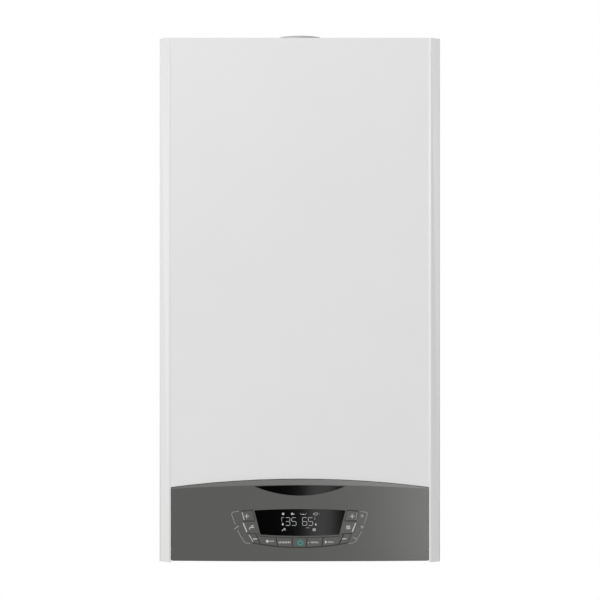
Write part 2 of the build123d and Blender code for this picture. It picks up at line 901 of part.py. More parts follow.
with BuildPart() as burner_door:
    with BuildSketch(front_plane(drum_front)):
        with Locations((drum_x, drum_z)):
            Circle(door_radius)
    extrude(amount=door_thick)
    with BuildSketch(front_plane(door_front)):
        with Locations((drum_x, drum_z)):
            with PolarLocations(door_radius - nut_size - 1, nut_count, start_angle=30):
                RegularPolygon(nut_size, 6)
    extrude(amount=nut_height)
    # ignition and flame-sensing electrodes
    with BuildSketch(front_plane(door_front)):
        with Locations((drum_x - 62, drum_z - 16), (drum_x - 46, drum_z - 44)):
            RegularPolygon(electrode_radius, 8)
    extrude(amount=electrode_length)
burner_door.part.label = "burner_door"
export_step(burner_door.part, "parts/burner_door.step")

# The fan's outlet and the cast duct meet face to face at outlet_top.
outlet_top = fan_z + fan_radius + 4
outlet_x = fan_x - fan_radius + outlet_width / 2
outlet_right = outlet_x + outlet_width / 2
with BuildPart() as premix_duct:
    with BuildSketch(front_plane(door_front)):
        with Locations((drum_x, drum_z)):
            Circle(duct_radius)
        with Locations(((drum_x + outlet_right) / 2, drum_z)):
            Rectangle(outlet_right - drum_x, duct_arm)
        with Locations((outlet_x, (outlet_top + drum_z) / 2)):
            Rectangle(outlet_width, drum_z - outlet_top)
        fillet(vertices().sort_by_distance((outlet_right, drum_z + duct_arm / 2))[0], duct_corner)
    extrude(amount=duct_thick)
premix_duct.part.label = "premix_duct"
export_step(premix_duct.part, "parts/premix_duct.step")

with BuildPart() as fan_volute:
    with BuildSketch(front_plane(door_front)):
        with Locations((fan_x, fan_z)):
            Circle(fan_radius)
        with Locations((outlet_x, (outlet_top + fan_z) / 2)):
            Rectangle(outlet_width, outlet_top - fan_z)
    extrude(amount=duct_thick)
fan_volute.part.label = "fan_volute"
export_step(fan_volute.part, "parts/fan_volute.step")

with BuildPart() as fan_motor:
    with BuildSketch(front_plane(duct_front)):
        with Locations((fan_x, fan_z)):
            Circle(motor_radius)
    extrude(amount=motor_length)
    with BuildSketch(front_plane(duct_front)):
        with Locations((fan_x + motor_radius, fan_z)):
            Rectangle(plug_width, plug_height)
    extrude(amount=0.6 * motor_length)
fan_motor.part.label = "fan_motor"
export_step(fan_motor.part, "parts/fan_motor.step")

# Venturi block behind the fan, with the silencer standing on its back
venturi_rear = door_front + venturi_length
intake_y = venturi_rear + intake_depth / 2
with BuildPart() as air_intake:
    with BuildSketch(front_plane(venturi_rear)):
        with Locations((fan_x, fan_z)):
            Rectangle(2 * venturi_half, 2 * venturi_half)
            chamfer(vertices(), venturi_corner)
    extrude(amount=venturi_length)
    with BuildSketch(Plane.XY.offset(fan_z - intake_width / 2)):
        with Locations((fan_x, intake_y)):
            Rectangle(intake_width, intake_depth)
    extrude(amount=intake_top - fan_z + intake_width / 2)
    with BuildSketch(Plane.XY.offset(intake_top)):
        with Locations((fan_x, intake_y)):
            Rectangle(intake_width - 2 * intake_wall, intake_depth - 2 * intake_wall)
    extrude(amount=fan_z - intake_top, mode=Mode.SUBTRACT)
air_intake.part.label = "air_intake"
export_step(air_intake.part, "parts/air_intake.step")

with BuildPart() as gas_valve:
    with BuildSketch(Plane.XY.offset(valve_low)):
        with Locations((gas_valve_x, gas_valve_y)):
            Rectangle(valve_width, valve_length)
            chamfer(vertices(), 5)
    extrude(amount=valve_high - valve_low)
    # gas line to the venturi, and the two coils
    with BuildSketch(Plane.XY.offset(valve_high)):
        with Locations((fan_x, door_front + venturi_length / 2)):
            Circle(valve_neck)
    extrude(amount=fan_z - venturi_half - valve_high)
    with BuildSketch(Plane.XY.offset(valve_high)):
        with Locations((gas_valve_x - 2, gas_valve_y + 18), (gas_valve_x - 2, gas_valve_y + 1)):
            Rectangle(coil_width, coil_length)
    extrude(amount=coil_height)
gas_valve.part.label = "gas_valve"
export_step(gas_valve.part, "parts/gas_valve.step")

# ---- water and gas side --------------------------------------------------------------

with BuildPart() as expansion_vessel:
    with BuildSketch(front_plane(back_front_y)):
        with Locations((0, vessel_z)):
            Circle(vessel_radius)
    extrude(amount=vessel_thick)
    with BuildSketch(Plane.XY.offset(vessel_stub_low)):
        with Locations((vessel_pipe_x, vessel_pipe_y)):
            Rectangle(4 * vessel_pipe_radius, 4 * vessel_pipe_radius)
    extrude(amount=vessel_stub_height)
expansion_vessel.part.label = "expansion_vessel"
export_step(expansion_vessel.part, "parts/expansion_vessel.step")

with BuildPart() as vessel_pipe:
    with BuildLine() as vessel_route:
        Polyline(
            (vessel_pipe_x, vessel_pipe_y, vessel_stub_low),
            (vessel_pipe_x, vessel_pipe_y, manifold_z),
            (vessel_pipe_x, tail_y + manifold_half, manifold_z),
        )
    with BuildSketch(Plane.XY.offset(vessel_stub_low)):
        with Locations((vessel_pipe_x, vessel_pipe_y)):
            Circle(vessel_pipe_radius)
    sweep(path=vessel_route.line, transition=Transition.RIGHT)
vessel_pipe.part.label = "vessel_pipe"
export_step(vessel_pipe.part, "parts/vessel_pipe.step")

with BuildPart() as pipe_tails:
    for x, radius in tails:
        with BuildSketch(Plane.XY.offset(-tail_drop)):
            with Locations((x, tail_y)):
                Circle(radius)
        extrude(amount=manifold_low + tail_drop)
        with BuildSketch(Plane.XY.offset(-tail_drop)):
            with Locations((x, tail_y)):
                Circle(radius - tail_wall)
        extrude(amount=tail_bore_depth, mode=Mode.SUBTRACT)
pipe_tails.part.label = "pipe_tails"
export_step(pipe_tails.part, "parts/pipe_tails.step")

# The manifolds are bevelled bars on the outer pairs of tails, with a port to the plate exchanger.
manifold_length = tail_pitch + 2 * manifold_end - 5
port_length = exchanger_front - tail_y - manifold_half
with BuildPart() as flow_manifold:
    with BuildSketch(Plane.YZ.offset(-2 * tail_pitch - manifold_end)):
        with Locations((tail_y, manifold_z)):
            Rectangle(2 * manifold_half, 2 * manifold_half)
            chamfer(vertices(), manifold_bevel)
    extrude(amount=manifold_length)
    with BuildSketch(front_plane(exchanger_front)):
        with Locations((-port_x, manifold_z)):
            Rectangle(2 * port_half, 2 * port_half)
    extrude(amount=port_length)
    with BuildSketch(Plane.XY.offset(manifold_high)):
        with Locations((diverter_x, tail_y)):
            Rectangle(neck_width, 2 * (manifold_half - manifold_bevel))
    extrude(amount=diverter_low - manifold_high)
flow_manifold.part.label = "flow_manifold"
export_step(flow_manifold.part, "parts/flow_manifold.step")

with BuildPart() as return_manifold:
    with BuildSketch(Plane.YZ.offset(2 * tail_pitch + manifold_end)):
        with Locations((tail_y, manifold_z)):
            Rectangle(2 * manifold_half, 2 * manifold_half)
            chamfer(vertices(), manifold_bevel)
    extrude(amount=-manifold_length)
    with BuildSketch(front_plane(exchanger_front)):
        with Locations((port_x, manifold_z)):
            Rectangle(2 * port_half, 2 * port_half)
    extrude(amount=port_length)
return_manifold.part.label = "return_manifold"
export_step(return_manifold.part, "parts/return_manifold.step")

exchanger_depth = (exchanger_plates - 1) * exchanger_pitch
with BuildPart() as plate_exchanger:
    for i in range(exchanger_plates):
        with BuildSketch(front_plane(exchanger_front + i * exchanger_pitch)):
            with Locations((0, exchanger_z)):
                Rectangle(2 * exchanger_half, exchanger_height)
                chamfer(vertices(), exchanger_bevel)
        extrude(amount=-exchanger_pitch / 2)
    with BuildSketch(front_plane(exchanger_front + exchanger_depth)):
        with Locations((0, exchanger_z)):
            Rectangle(2 * exchanger_half - 8, exchanger_height - 8)
            chamfer(vertices(), exchanger_bevel)
    extrude(amount=exchanger_depth)
plate_exchanger.part.label = "plate_exchanger"
export_step(plate_exchanger.part, "parts/plate_exchanger.step")

with BuildPart() as diverter_motor:
    with BuildSketch(Plane.XY.offset(diverter_low)):
        with Locations((diverter_x, tail_y)):
            Rectangle(diverter_width, diverter_length)
            chamfer(vertices(), 6)
    extrude(amount=diverter_height)
diverter_motor.part.label = "diverter_motor"
export_step(diverter_motor.part, "parts/diverter_motor.step")

pump_front = pump_y - pump_half
vent_low = pump_z + pump_radius
with BuildPart() as pump_housing:
    with BuildSketch(front_plane(pump_y + pump_half)):
        with Locations((pump_x, pump_z)):
            Circle(pump_radius)
        with Locations((pump_x, (manifold_high + neck_high) / 2)):
            Rectangle(neck_width, neck_high - manifold_high)
        with Locations((vent_x, (pump_z + vent_low) / 2)):
            Rectangle(2 * vent_radius + 2, vent_low - pump_z)
    extrude(amount=2 * pump_half)
    # automatic air vent
    with BuildSketch(Plane.XY.offset(vent_low)):
        with Locations((vent_x, pump_y)):
            Circle(vent_radius)
    extrude(amount=vent_height)
pump_housing.part.label = "pump_housing"
export_step(pump_housing.part, "parts/pump_housing.step")

with BuildPart() as pump_motor:
    with BuildSketch(front_plane(pump_front)):
        with Locations((pump_x, pump_z)):
            Circle(pump_can)
    extrude(amount=pump_can_length)
    with BuildSketch(front_plane(pump_front - pump_can_length)):
        with Locations((pump_x, pump_z)):
            Rectangle(terminal_width, terminal_width)
            chamfer(vertices(), 10)
    extrude(amount=terminal_length)
pump_motor.part.label = "pump_motor"
export_step(pump_motor.part, "parts/pump_motor.step")

with BuildPart() as flow_pipe:
    with BuildSketch(Plane.XY.offset(manifold_high)):
        with Locations((flow_x, tail_y)):
            Circle(pipe_radius)
    extrude(amount=sump_low - manifold_high)
flow_pipe.part.label = "flow_pipe"
export_step(flow_pipe.part, "parts/flow_pipe.step")

return_bend = (sump_low + neck_high) / 2 + 17
with BuildPart() as return_pipe:
    with BuildLine() as return_route:
        Polyline(
            (return_x, tail_y, sump_low),
            (return_x, tail_y, return_bend),
            (pump_x, pump_y, neck_high + 34),
            (pump_x, pump_y, neck_high),
        )
    with BuildSketch(Plane.XY.offset(sump_low)):
        with Locations((return_x, tail_y)):
            Circle(pipe_radius)
    sweep(path=return_route.line, transition=Transition.RIGHT)
return_pipe.part.label = "return_pipe"
export_step(return_pipe.part, "parts/return_pipe.step")

gas_bend = 190  # the gas pipe leans over to the valve between this height and gas_turn
gas_turn = 250
with BuildPart() as gas_pipe:
    with BuildLine() as gas_route:
        Polyline(
            (0, tail_y, manifold_low),
            (0, tail_y, gas_bend),
            (gas_valve_x, gas_valve_y, gas_turn),
            (gas_valve_x, gas_valve_y, valve_low),
        )
    with BuildSketch(Plane.XY.offset(manifold_low)):
        with Locations((0, tail_y)):
            Circle(gas_pipe_radius)
    sweep(path=gas_route.line, transition=Transition.RIGHT)
gas_pipe.part.label = "gas_pipe"
export_step(gas_pipe.part, "parts/gas_pipe.step")

with BuildPart() as safety_valve:
    with BuildSketch(front_plane(manifold_front)):
        with Locations((discharge_x, manifold_z)):
            Rectangle(2 * valve_half, 2 * valve_half)
            chamfer(vertices(), 2)
    extrude(amount=manifold_front - knob_back - slip)
    with BuildSketch(Plane.XY.offset(discharge_low)):
        with Locations((discharge_x, discharge_y)):
            Circle(discharge_radius)
    extrude(amount=manifold_z - discharge_low)
    with BuildSketch(front_plane(knob_back + shaft_depth)):
        with Locations((discharge_x, manifold_z)):
            Circle(shaft_radius + running_fit)
    extrude(amount=shaft_depth, mode=Mode.SUBTRACT)
safety_valve.part.label = "safety_valve"
export_step(safety_valve.part, "parts/safety_valve.step")

with BuildPart() as safety_knob:
    with BuildSketch(front_plane(knob_back)):
        with Locations((discharge_x, manifold_z)):
            RegularPolygon(knob_radius, knob_sides)
    extrude(amount=knob_length)
    with BuildSketch(front_plane(knob_back + shaft_depth - 1)):
        with Locations((discharge_x, manifold_z)):
            Circle(shaft_radius)
    extrude(amount=shaft_depth)
safety_knob.part.label = "safety_knob"
export_step(safety_knob.part, "parts/safety_knob.step")

with BuildPart() as pressure_gauge:
    with BuildSketch(Plane.XY.offset(gauge_low)):
        with Locations((gauge_x, gauge_y)):
            Circle(gauge_radius)
    extrude(amount=plate_low - gauge_low)
pressure_gauge.part.label = "pressure_gauge"
export_step(pressure_gauge.part, "parts/pressure_gauge.step")

with BuildPart() as gauge_needle:
    with BuildSketch(Plane.XY.offset(gauge_low - needle_gap)):
        with Locations((gauge_x, gauge_y)):
            RegularPolygon(3, 12)
        with Locations((gauge_x, gauge_y + 6)):
            Rectangle(1.2, 17)
    extrude(amount=-1)
gauge_needle.part.label = "gauge_needle"
export_step(gauge_needle.part, "parts/gauge_needle.step")

with BuildPart() as filling_tap:
    with BuildSketch(Plane.XY.offset(plate_top)):
        with Locations((tap_x, tap_y)):
            RegularPolygon(tap_knob_radius - 1, 6)
    extrude(amount=tap_high - plate_top)
    # link to the cold-water end of the return manifold
    with BuildSketch(front_plane(manifold_front)):
        with Locations((tap_x, tap_high - tap_link / 2)):
            Rectangle(tap_link, tap_link)
    extrude(amount=manifold_front - tap_y)
    with BuildSketch(Plane.XY.offset(plate_top)):
        with Locations((tap_x, tap_y)):
            Circle(tap_shaft + running_fit)
    extrude(amount=tap_depth, mode=Mode.SUBTRACT)
filling_tap.part.label = "filling_tap"
export_step(filling_tap.part, "parts/filling_tap.step")

with BuildPart() as filling_knob:
    with BuildSketch(Plane.XY.offset(tap_knob_low)):
        with Locations((tap_x, tap_y)):
            RegularPolygon(tap_knob_radius, knob_sides)
    extrude(amount=plate_low - slip - tap_knob_low)
    with BuildSketch(Plane.XY.offset(plate_low - 1)):
        with Locations((tap_x, tap_y)):
            Circle(tap_shaft)
    extrude(amount=tap_depth)
filling_knob.part.label = "filling_knob"
export_step(filling_knob.part, "parts/filling_knob.step")

with BuildPart() as condensate_trap:
    with BuildSketch(Plane.XY.offset(trap_low)):
        with Locations((trap_x, trap_y)):
            Rectangle(trap_width, trap_length)
            chamfer(vertices(), 8)
    extrude(amount=sump_low - trap_low)
    with BuildSketch(Plane.XY.offset(sump_low)):
        with Locations((trap_x, trap_y)):
            Rectangle(trap_width + 8, trap_length + 8)
            chamfer(vertices(), 10)
    extrude(amount=-trap_lid)
    with BuildSketch(Plane.XY.offset(condensate_low)):
        with Locations((trap_x, trap_y)):
            Circle(condensate_radius)
    extrude(amount=trap_low - condensate_low)
    with BuildSketch(Plane.XY.offset(condensate_low)):
        with Locations((trap_x, trap_y)):
            Circle(condensate_radius - condensate_wall)
    extrude(amount=tail_bore_depth, mode=Mode.SUBTRACT)
condensate_trap.part.label = "condensate_trap"
export_step(condensate_trap.part, "parts/condensate_trap.step")
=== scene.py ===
import bpy
import bmesh
import json
import math
from mathutils import Matrix, Vector


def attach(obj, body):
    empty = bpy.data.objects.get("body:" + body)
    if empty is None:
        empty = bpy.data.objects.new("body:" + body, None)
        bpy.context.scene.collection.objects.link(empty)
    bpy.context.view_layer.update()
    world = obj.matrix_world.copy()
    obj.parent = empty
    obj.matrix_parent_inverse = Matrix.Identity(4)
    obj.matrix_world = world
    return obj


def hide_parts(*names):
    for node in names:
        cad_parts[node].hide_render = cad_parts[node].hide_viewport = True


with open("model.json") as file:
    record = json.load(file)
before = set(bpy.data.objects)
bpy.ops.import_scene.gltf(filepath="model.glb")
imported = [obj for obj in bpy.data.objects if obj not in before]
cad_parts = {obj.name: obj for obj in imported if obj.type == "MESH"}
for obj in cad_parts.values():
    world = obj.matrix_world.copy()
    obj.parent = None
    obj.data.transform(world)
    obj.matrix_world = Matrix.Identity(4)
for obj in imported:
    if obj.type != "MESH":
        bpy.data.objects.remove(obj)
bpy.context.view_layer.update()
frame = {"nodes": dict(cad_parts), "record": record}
nodes = frame["nodes"]
mm = 0.001
quarter = math.pi / 2


def newObject(name, data):
    thing = bpy.data.objects.new(name, data)
    bpy.context.scene.collection.objects.link(thing)
    return thing


def addNode(tree, kind, values=None, **settings):
    # makes the node's settings first, then sets its inputs; a value that is a socket is linked
    node = tree.nodes.new(kind)
    for key, value in settings.items():
        setattr(node, key, value)
    for key, value in (values or {}).items():
        if isinstance(value, bpy.types.NodeSocket):
            tree.links.new(value, node.inputs[key])
        else:
            node.inputs[key].default_value = value
    return node


# view and light

shot = {
    "distance": 2.4,        # from the camera to the flat front face
    "faceY": -0.313,
    "eyeX": 0.0002,
    "eyeHeight": 0.3725,
    "frameWidth": 0.8556,   # real width across the picture at the casing's front edges
    "edgeY": -0.304,
    "sensor": 36.0,
    "clipEnd": 50,
}

camera = newObject("camera", bpy.data.cameras.new("camera"))
camera.location = (shot["eyeX"], shot["faceY"] - shot["distance"], shot["eyeHeight"])
camera.rotation_euler = (quarter, 0, 0)
edgeDistance = shot["edgeY"] - camera.location.y
camera.data.sensor_width = shot["sensor"]
camera.data.lens = shot["sensor"] * edgeDistance / shot["frameWidth"]
camera.data.clip_end = shot["clipEnd"]
bpy.context.scene.camera = camera
bpy.context.scene.view_settings.view_transform = "Standard"

lampSpecs = {
    "keyLamp": {"power": 82.0, "size": (2.2, 2.2), "place": (-2.4, -4.1, 2.2), "aim": (0, -0.2, 0.37)},
    "topLamp": {"power": 8.5, "size": (1.3, 1.3), "place": (-0.1, -0.7, 2.3), "aim": (0, -0.25, 0.6)},
    "sheenLamp": {"power": 4.6, "size": (0.6, 0.6), "place": (0.66, -1.8, -0.02), "aim": (0, -0.2, 0.37)},
    "stripLamp": {"power": 9.0, "size": (0.12, 0.5), "place": (0.1, -2.7, -0.26),
                  "aim": (0.04, -0.319, 0.055)},
    "bandLamp": {"power": 10.0, "size": (0.7, 0.5), "place": (0.6, -0.56, 2.2), "aim": (0.1, -0.31, 0.1)},
}
# these three light only the pieces linked to them, and show only as a sheen on the right of the fascia,
# in the lens and the display, and in the band under the arch
linkedLamps = ("sheenLamp", "stripLamp", "bandLamp")


def areaLamp(name, spec):
    lamp = bpy.data.lights.new(name, "AREA")
    lamp.energy = spec["power"]
    lamp.shape = "RECTANGLE"
    lamp.size, lamp.size_y = spec["size"]
    holder = newObject(name, lamp)
    holder.location = spec["place"]
    way = Vector(spec["aim"]) - Vector(spec["place"])
    holder.rotation_euler = way.to_track_quat("-Z", "Y").to_euler()
    return holder


lamps = {name: areaLamp(name, spec) for name, spec in lampSpecs.items()}
for name in linkedLamps:
    lamps[name].visible_diffuse = lamps[name].visible_camera = False
    lamps[name].light_linking.receiver_collection = bpy.data.collections.new(name + "Takers")


def seenDirectly(tree):
    # 1 for rays that show the background itself, in the picture or in a reflection
    ray = tree.nodes.new("ShaderNodeLightPath").outputs
    seen = ray["Is Camera Ray"]
    for other in (ray["Is Glossy Ray"], ray["Is Transmission Ray"]):
        seen = addNode(tree, "ShaderNodeMath", {0: seen, 1: other}, operation="MAXIMUM").outputs[0]
    return seen


# strength of the light that falls on the object, and of the background that is seen
room = {"ambient": 0.585, "backdrop": 1.0}
world = bpy.data.worlds.new("studioWorld")
bpy.context.scene.world = world
world.use_nodes = True
worldTree = world.node_tree
background = worldTree.nodes["Background"]
background.inputs["Color"].default_value = (1, 1, 1, 1)
level = addNode(worldTree, "ShaderNodeMapRange", {
    "Value": seenDirectly(worldTree), "To Min": room["ambient"], "To Max": room["backdrop"],
})
worldTree.links.new(level.outputs["Result"], background.inputs["Strength"])
print("camera, lamps and world are set")

# finishes: color is linear; grain is the size of the surface's relief in mm, and depth its height;
# tone is how far the colour drifts either way
finishes = {
    "whiteEnamel": {"color": (0.80, 0.80, 0.80), "rough": 0.34,
                    "grain": 1.6, "depth": 0.012, "tone": 0.012, "specular": 0.35},
    "panelEnamel": {"color": (0.78, 0.78, 0.78), "rough": 0.42, "grain": 1.4, "depth": 0.015, "tone": 0.015},
    "zincSheet": {"color": (0.52, 0.53, 0.54), "rough": 0.38, "metal": 1.0,
                  "grain": 9, "depth": 0.01, "tone": 0.10, "pattern": "spangle"},
    "fasciaPlastic": {"color": (0.073, 0.076, 0.071), "rough": 0.26,
                      "grain": 0.5, "depth": 0.02, "tone": 0.03},
    # keyPlastic's rim colour is painted shade on the chamfer round a key's front
    "keyPlastic": {"color": (0.070, 0.073, 0.067), "rough": 0.30,
                   "grain": 0.6, "depth": 0.015, "tone": 0.03, "rim": (0.026, 0.027, 0.025)},
    "blackGloss": {"color": (0.0006, 0.0006, 0.0007), "rough": 0.10,
                   "grain": 30, "depth": 0.002, "tone": 0.2, "specular": 0.015},
    "fluePlastic": {"color": (0.53, 0.53, 0.53), "rough": 0.45, "grain": 0.9, "depth": 0.02, "tone": 0.03},
    "sealFoam": {"color": (0.030, 0.030, 0.032), "rough": 0.85, "grain": 1.5, "depth": 0.25, "tone": 0.25},
    "castAluminium": {"color": (0.50, 0.51, 0.52), "rough": 0.48, "metal": 1.0,
                      "grain": 1.1, "depth": 0.09, "tone": 0.08},
    "blackPlastic": {"color": (0.028, 0.028, 0.030), "rough": 0.5, "grain": 0.8, "depth": 0.04, "tone": 0.10},
    "boardGreen": {"color": (0.020, 0.16, 0.060), "rough": 0.35,
                   "grain": 3, "depth": 0.04, "tone": 0.35, "pattern": "tracks"},
    "vesselPaint": {"color": (0.42, 0.030, 0.022), "rough": 0.30,
                    "grain": 3, "depth": 0.03, "tone": 0.06, "coat": 0.3},
    "copperTube": {"color": (0.72, 0.33, 0.20), "rough": 0.28, "metal": 1.0,
                   "grain": 14, "depth": 0.01, "tone": 0.18},
    "brassTurned": {"color": (0.66, 0.47, 0.20), "rough": 0.30, "metal": 1.0,
                    "grain": 0.7, "depth": 0.012, "tone": 0.08},
    "pumpIron": {"color": (0.055, 0.060, 0.066), "rough": 0.5, "grain": 1.2, "depth": 0.12, "tone": 0.12},
    "redKnob": {"color": (0.50, 0.020, 0.016), "rough": 0.38, "grain": 0.8, "depth": 0.02, "tone": 0.05},
    "blueKnob": {"color": (0.018, 0.085, 0.36), "rough": 0.38, "grain": 0.8, "depth": 0.02, "tone": 0.05},
    "dialWhite": {"color": (0.78, 0.78, 0.75), "rough": 0.5, "grain": 0.7, "depth": 0.006, "tone": 0.02},
    "wastePlastic": {"color": (0.70, 0.70, 0.67), "rough": 0.45, "grain": 1.0, "depth": 0.02, "tone": 0.03},
    "whitePrint": {"color": (0.58, 0.58, 0.56), "rough": 0.6, "grain": 0.4, "depth": 0.004, "tone": 0.08},
    "dimPrint": {"color": (0.30, 0.31, 0.29), "rough": 0.6, "grain": 0.4, "depth": 0.004, "tone": 0.08},
    "tealPrint": {"color": (0.020, 0.30, 0.255), "rough": 0.5, "grain": 0.4, "depth": 0.004, "tone": 0.08},
    # the dark colour of the gauge's printed ticks and numbers, and of the painted shade strips over the key
    # gaps
    "darkPrintAndShade": {"color": (0.018, 0.019, 0.018), "rough": 0.7, "grain": 0.5, "depth": 0.01, "tone": 0.1},
    "litGlyph": {"color": (0.36, 0.37, 0.37), "rough": 0.5,
                 "grain": 0.5, "depth": 0.002, "tone": 0.12, "glow": 0.14},
    "plainSteel": {"color": (0.45, 0.46, 0.47), "rough": 0.32, "metal": 1.0,
                   "grain": 0.8, "depth": 0.01, "tone": 0.08},
}
texture = {
    "driftScale": 14,             # patches in a metre, for the drift in tone
    "glossScale": 35,             # the same for the drift in roughness
    "glossSpread": 0.12,          # share by which the roughness drifts either way
    "trackScale": 60,
    "trackTones": (0.2, 0.9, 0.5),
}


def surface(name):
    # a shader with drifting tone, drifting roughness and a fine relief, all from Object coordinates
    if name in bpy.data.materials:
        return bpy.data.materials[name]
    spec = finishes[name]
    material = bpy.data.materials.new(name)
    material.use_nodes = True
    tree = material.node_tree
    shader = tree.nodes["Principled BSDF"]
    place = tree.nodes.new("ShaderNodeTexCoord").outputs["Object"]
    fineScale = 1 / (spec["grain"] * mm)

    def noise(scale, detail):
        node = addNode(tree, "ShaderNodeTexNoise", {"Vector": place, "Scale": scale, "Detail": detail})
        return node.outputs["Fac"]

    def mix(first, second, share):
        values = {"A": first, "B": second, "Factor": share}
        return addNode(tree, "ShaderNodeMix", values, data_type="RGBA").outputs["Result"]

    pattern = spec.get("pattern")
    if pattern == "spangle":
        cells = addNode(tree, "ShaderNodeTexVoronoi", {"Vector": place, "Scale": fineScale})
        drift = addNode(tree, "ShaderNodeSeparateColor", {"Color": cells.outputs["Color"]}).outputs["Red"]
    elif pattern == "tracks":
        turned = addNode(tree, "ShaderNodeMapping", {"Vector": place, "Rotation": (quarter, 0, 0)})
        lines = addNode(tree, "ShaderNodeTexBrick", {
            "Vector": turned.outputs[0], "Scale": texture["trackScale"],
        })
        for label, grey in zip(("Color1", "Color2", "Mortar"), texture["trackTones"]):
            lines.inputs[label].default_value = (grey, grey, grey, 1)
        drift = lines.outputs["Color"]
    else:
        drift = noise(texture["driftScale"], 3)

    low, high = [
        (*[channel * level for channel in spec["color"]], 1) for level in (1 - spec["tone"], 1 + spec["tone"])
    ]
    color = mix(low, high, drift)
    if "rim" in spec:
        # painted shade: darker where the piece carries the attribute "rim", the chamfer round a key's front
        where = addNode(tree, "ShaderNodeAttribute", attribute_name="rim")
        color = mix(color, (*spec["rim"], 1), where.outputs["Fac"])
    tree.links.new(color, shader.inputs["Base Color"])

    spread = texture["glossSpread"]
    gloss = addNode(tree, "ShaderNodeMapRange", {
        "Value": noise(texture["glossScale"], 4),
        "To Min": spec["rough"] * (1 - spread),
        "To Max": min(1, spec["rough"] * (1 + spread)),
    })
    tree.links.new(gloss.outputs["Result"], shader.inputs["Roughness"])

    relief = addNode(tree, "ShaderNodeBump", {"Distance": spec["depth"] * mm, "Height": noise(fineScale, 2)})
    tree.links.new(relief.outputs["Normal"], shader.inputs["Normal"])

    shader.inputs["Metallic"].default_value = spec.get("metal", 0)
    shader.inputs["Coat Weight"].default_value = spec.get("coat", 0)
    shader.inputs["Specular IOR Level"].default_value = spec.get("specular", 0.5)
    if "glow" in spec:
        shader.inputs["Emission Color"].default_value = (1, 1, 1, 1)
        shader.inputs["Emission Strength"].default_value = spec["glow"]
    return material


slotFinish = {
    "white_enamel": "whiteEnamel", "grey_enamel": "panelEnamel", "zinc_steel": "zincSheet",
    "fascia_plastic": "fasciaPlastic", "black_gloss": "blackGloss", "key_rubber": "keyPlastic",
    "flue_plastic": "fluePlastic", "seal_rubber": "sealFoam", "cast_aluminium": "castAluminium",
    "black_plastic": "blackPlastic", "board_green": "boardGreen", "vessel_red": "vesselPaint",
    "copper": "copperTube", "brass": "brassTurned", "pump_iron": "pumpIron", "red_knob": "redKnob",
    "blue_knob": "blueKnob", "gauge_white": "dialWhite", "waste_plastic": "wastePlastic",
}
nodeSlot = {part["node"]: part["material_slot"] for part in frame["record"]["subparts"]}
for nodeName, piece in nodes.items():
    piece.data.materials.clear()
    piece.data.materials.append(surface(slotFinish[nodeSlot[nodeName]]))
print("every CAD piece has its finish")

# helpers for pieces


def meshPiece(name, verts, faces, finish):
    mesh = bpy.data.meshes.new(name)
    mesh.from_pydata(verts, [], faces)
    mesh.materials.append(surface(finish))
    work = bmesh.new()
    work.from_mesh(mesh)
    bmesh.ops.recalc_face_normals(work, faces=work.faces)
    work.to_mesh(mesh)
    work.free()
    return newObject(name, mesh)


def plainMesh(piece):
    # the piece's mesh with its modifiers run
    bpy.context.view_layer.update()
    return bpy.data.meshes.new_from_object(piece.evaluated_get(bpy.context.evaluated_depsgraph_get()))


def grownPiece(name, tree, finish, values, points=()):
    # runs a Geometry Nodes tree and keeps its result as a plain mesh
    base = bpy.data.meshes.new(name)
    base.from_pydata(points, [], [])
    seedPiece = newObject(name + "Seed", base)
    grow = seedPiece.modifiers.new("grow", "NODES")
    grow.node_group = tree
    values = dict(values, Finish=surface(finish))
    for item in tree.interface.items_tree:
        if item.item_type == "SOCKET" and item.in_out == "INPUT" and item.name in values:
            grow[item.identifier] = values[item.name]
    mesh = plainMesh(seedPiece)
    bpy.data.objects.remove(seedPiece)
    mesh.name = name
    return newObject(name, mesh)


def inMetres(places):
    return [tuple(value * mm for value in place) for place in places]


class Tree:
    # a short way to write a Geometry Nodes tree; the inputs that "kinds" doesn't name are numbers
    kinds = {"Geometry": "Geometry", "Count": "Int", "Turn": "Vector", "Finish": "Material"}

    def __init__(self, name, *labels):
        self.tree = bpy.data.node_groups.new(name, "GeometryNodeTree")
        face = self.tree.interface
        for label in ("Geometry", *labels, "Finish"):
            kind = "NodeSocket" + self.kinds.get(label, "Float")
            face.new_socket(label, in_out="INPUT", socket_type=kind)
        face.new_socket("Geometry", in_out="OUTPUT", socket_type="NodeSocketGeometry")
        self.given = self.tree.nodes.new("NodeGroupInput").outputs

    def add(self, kind, values=None, **settings):
        return addNode(self.tree, kind, values, **settings)

    def math(self, operation, *values):
        node = self.add("ShaderNodeMath", dict(enumerate(values)), operation=operation)
        return node.outputs[0]

    def close(self, geometry):
        plain = self.add("GeometryNodeRealizeInstances", {"Geometry": geometry})
        dressed = self.add("GeometryNodeSetMaterial", {
            "Geometry": plain.outputs[0], "Material": self.given["Finish"],
        })
        out = self.tree.nodes.new("NodeGroupOutput")
        self.tree.links.new(dressed.outputs[0], out.inputs[0])
        return self.tree


# printed marks, and painted shade in the key gaps

bow = {
    "half": 182.3,
    "crownY": -319.0,
    "edgeY": -314.5,
    "facing": 0.98,     # least share of forward in the normal of a face on the bowed front
    "slack": 0.25,      # how far behind its curve a corner may lie
}
bowRise = bow["edgeY"] - bow["crownY"]
bowRadius = (bow["half"] ** 2 + bowRise ** 2) / (2 * bowRise)


def bowFront(x):
    # y of the fascia's bowed front at x, in mm
    return bow["crownY"] + bowRadius - math.sqrt(bowRadius ** 2 - x ** 2)


leastMitre = 0.4  # keeps the corner of a sharp turn from running out


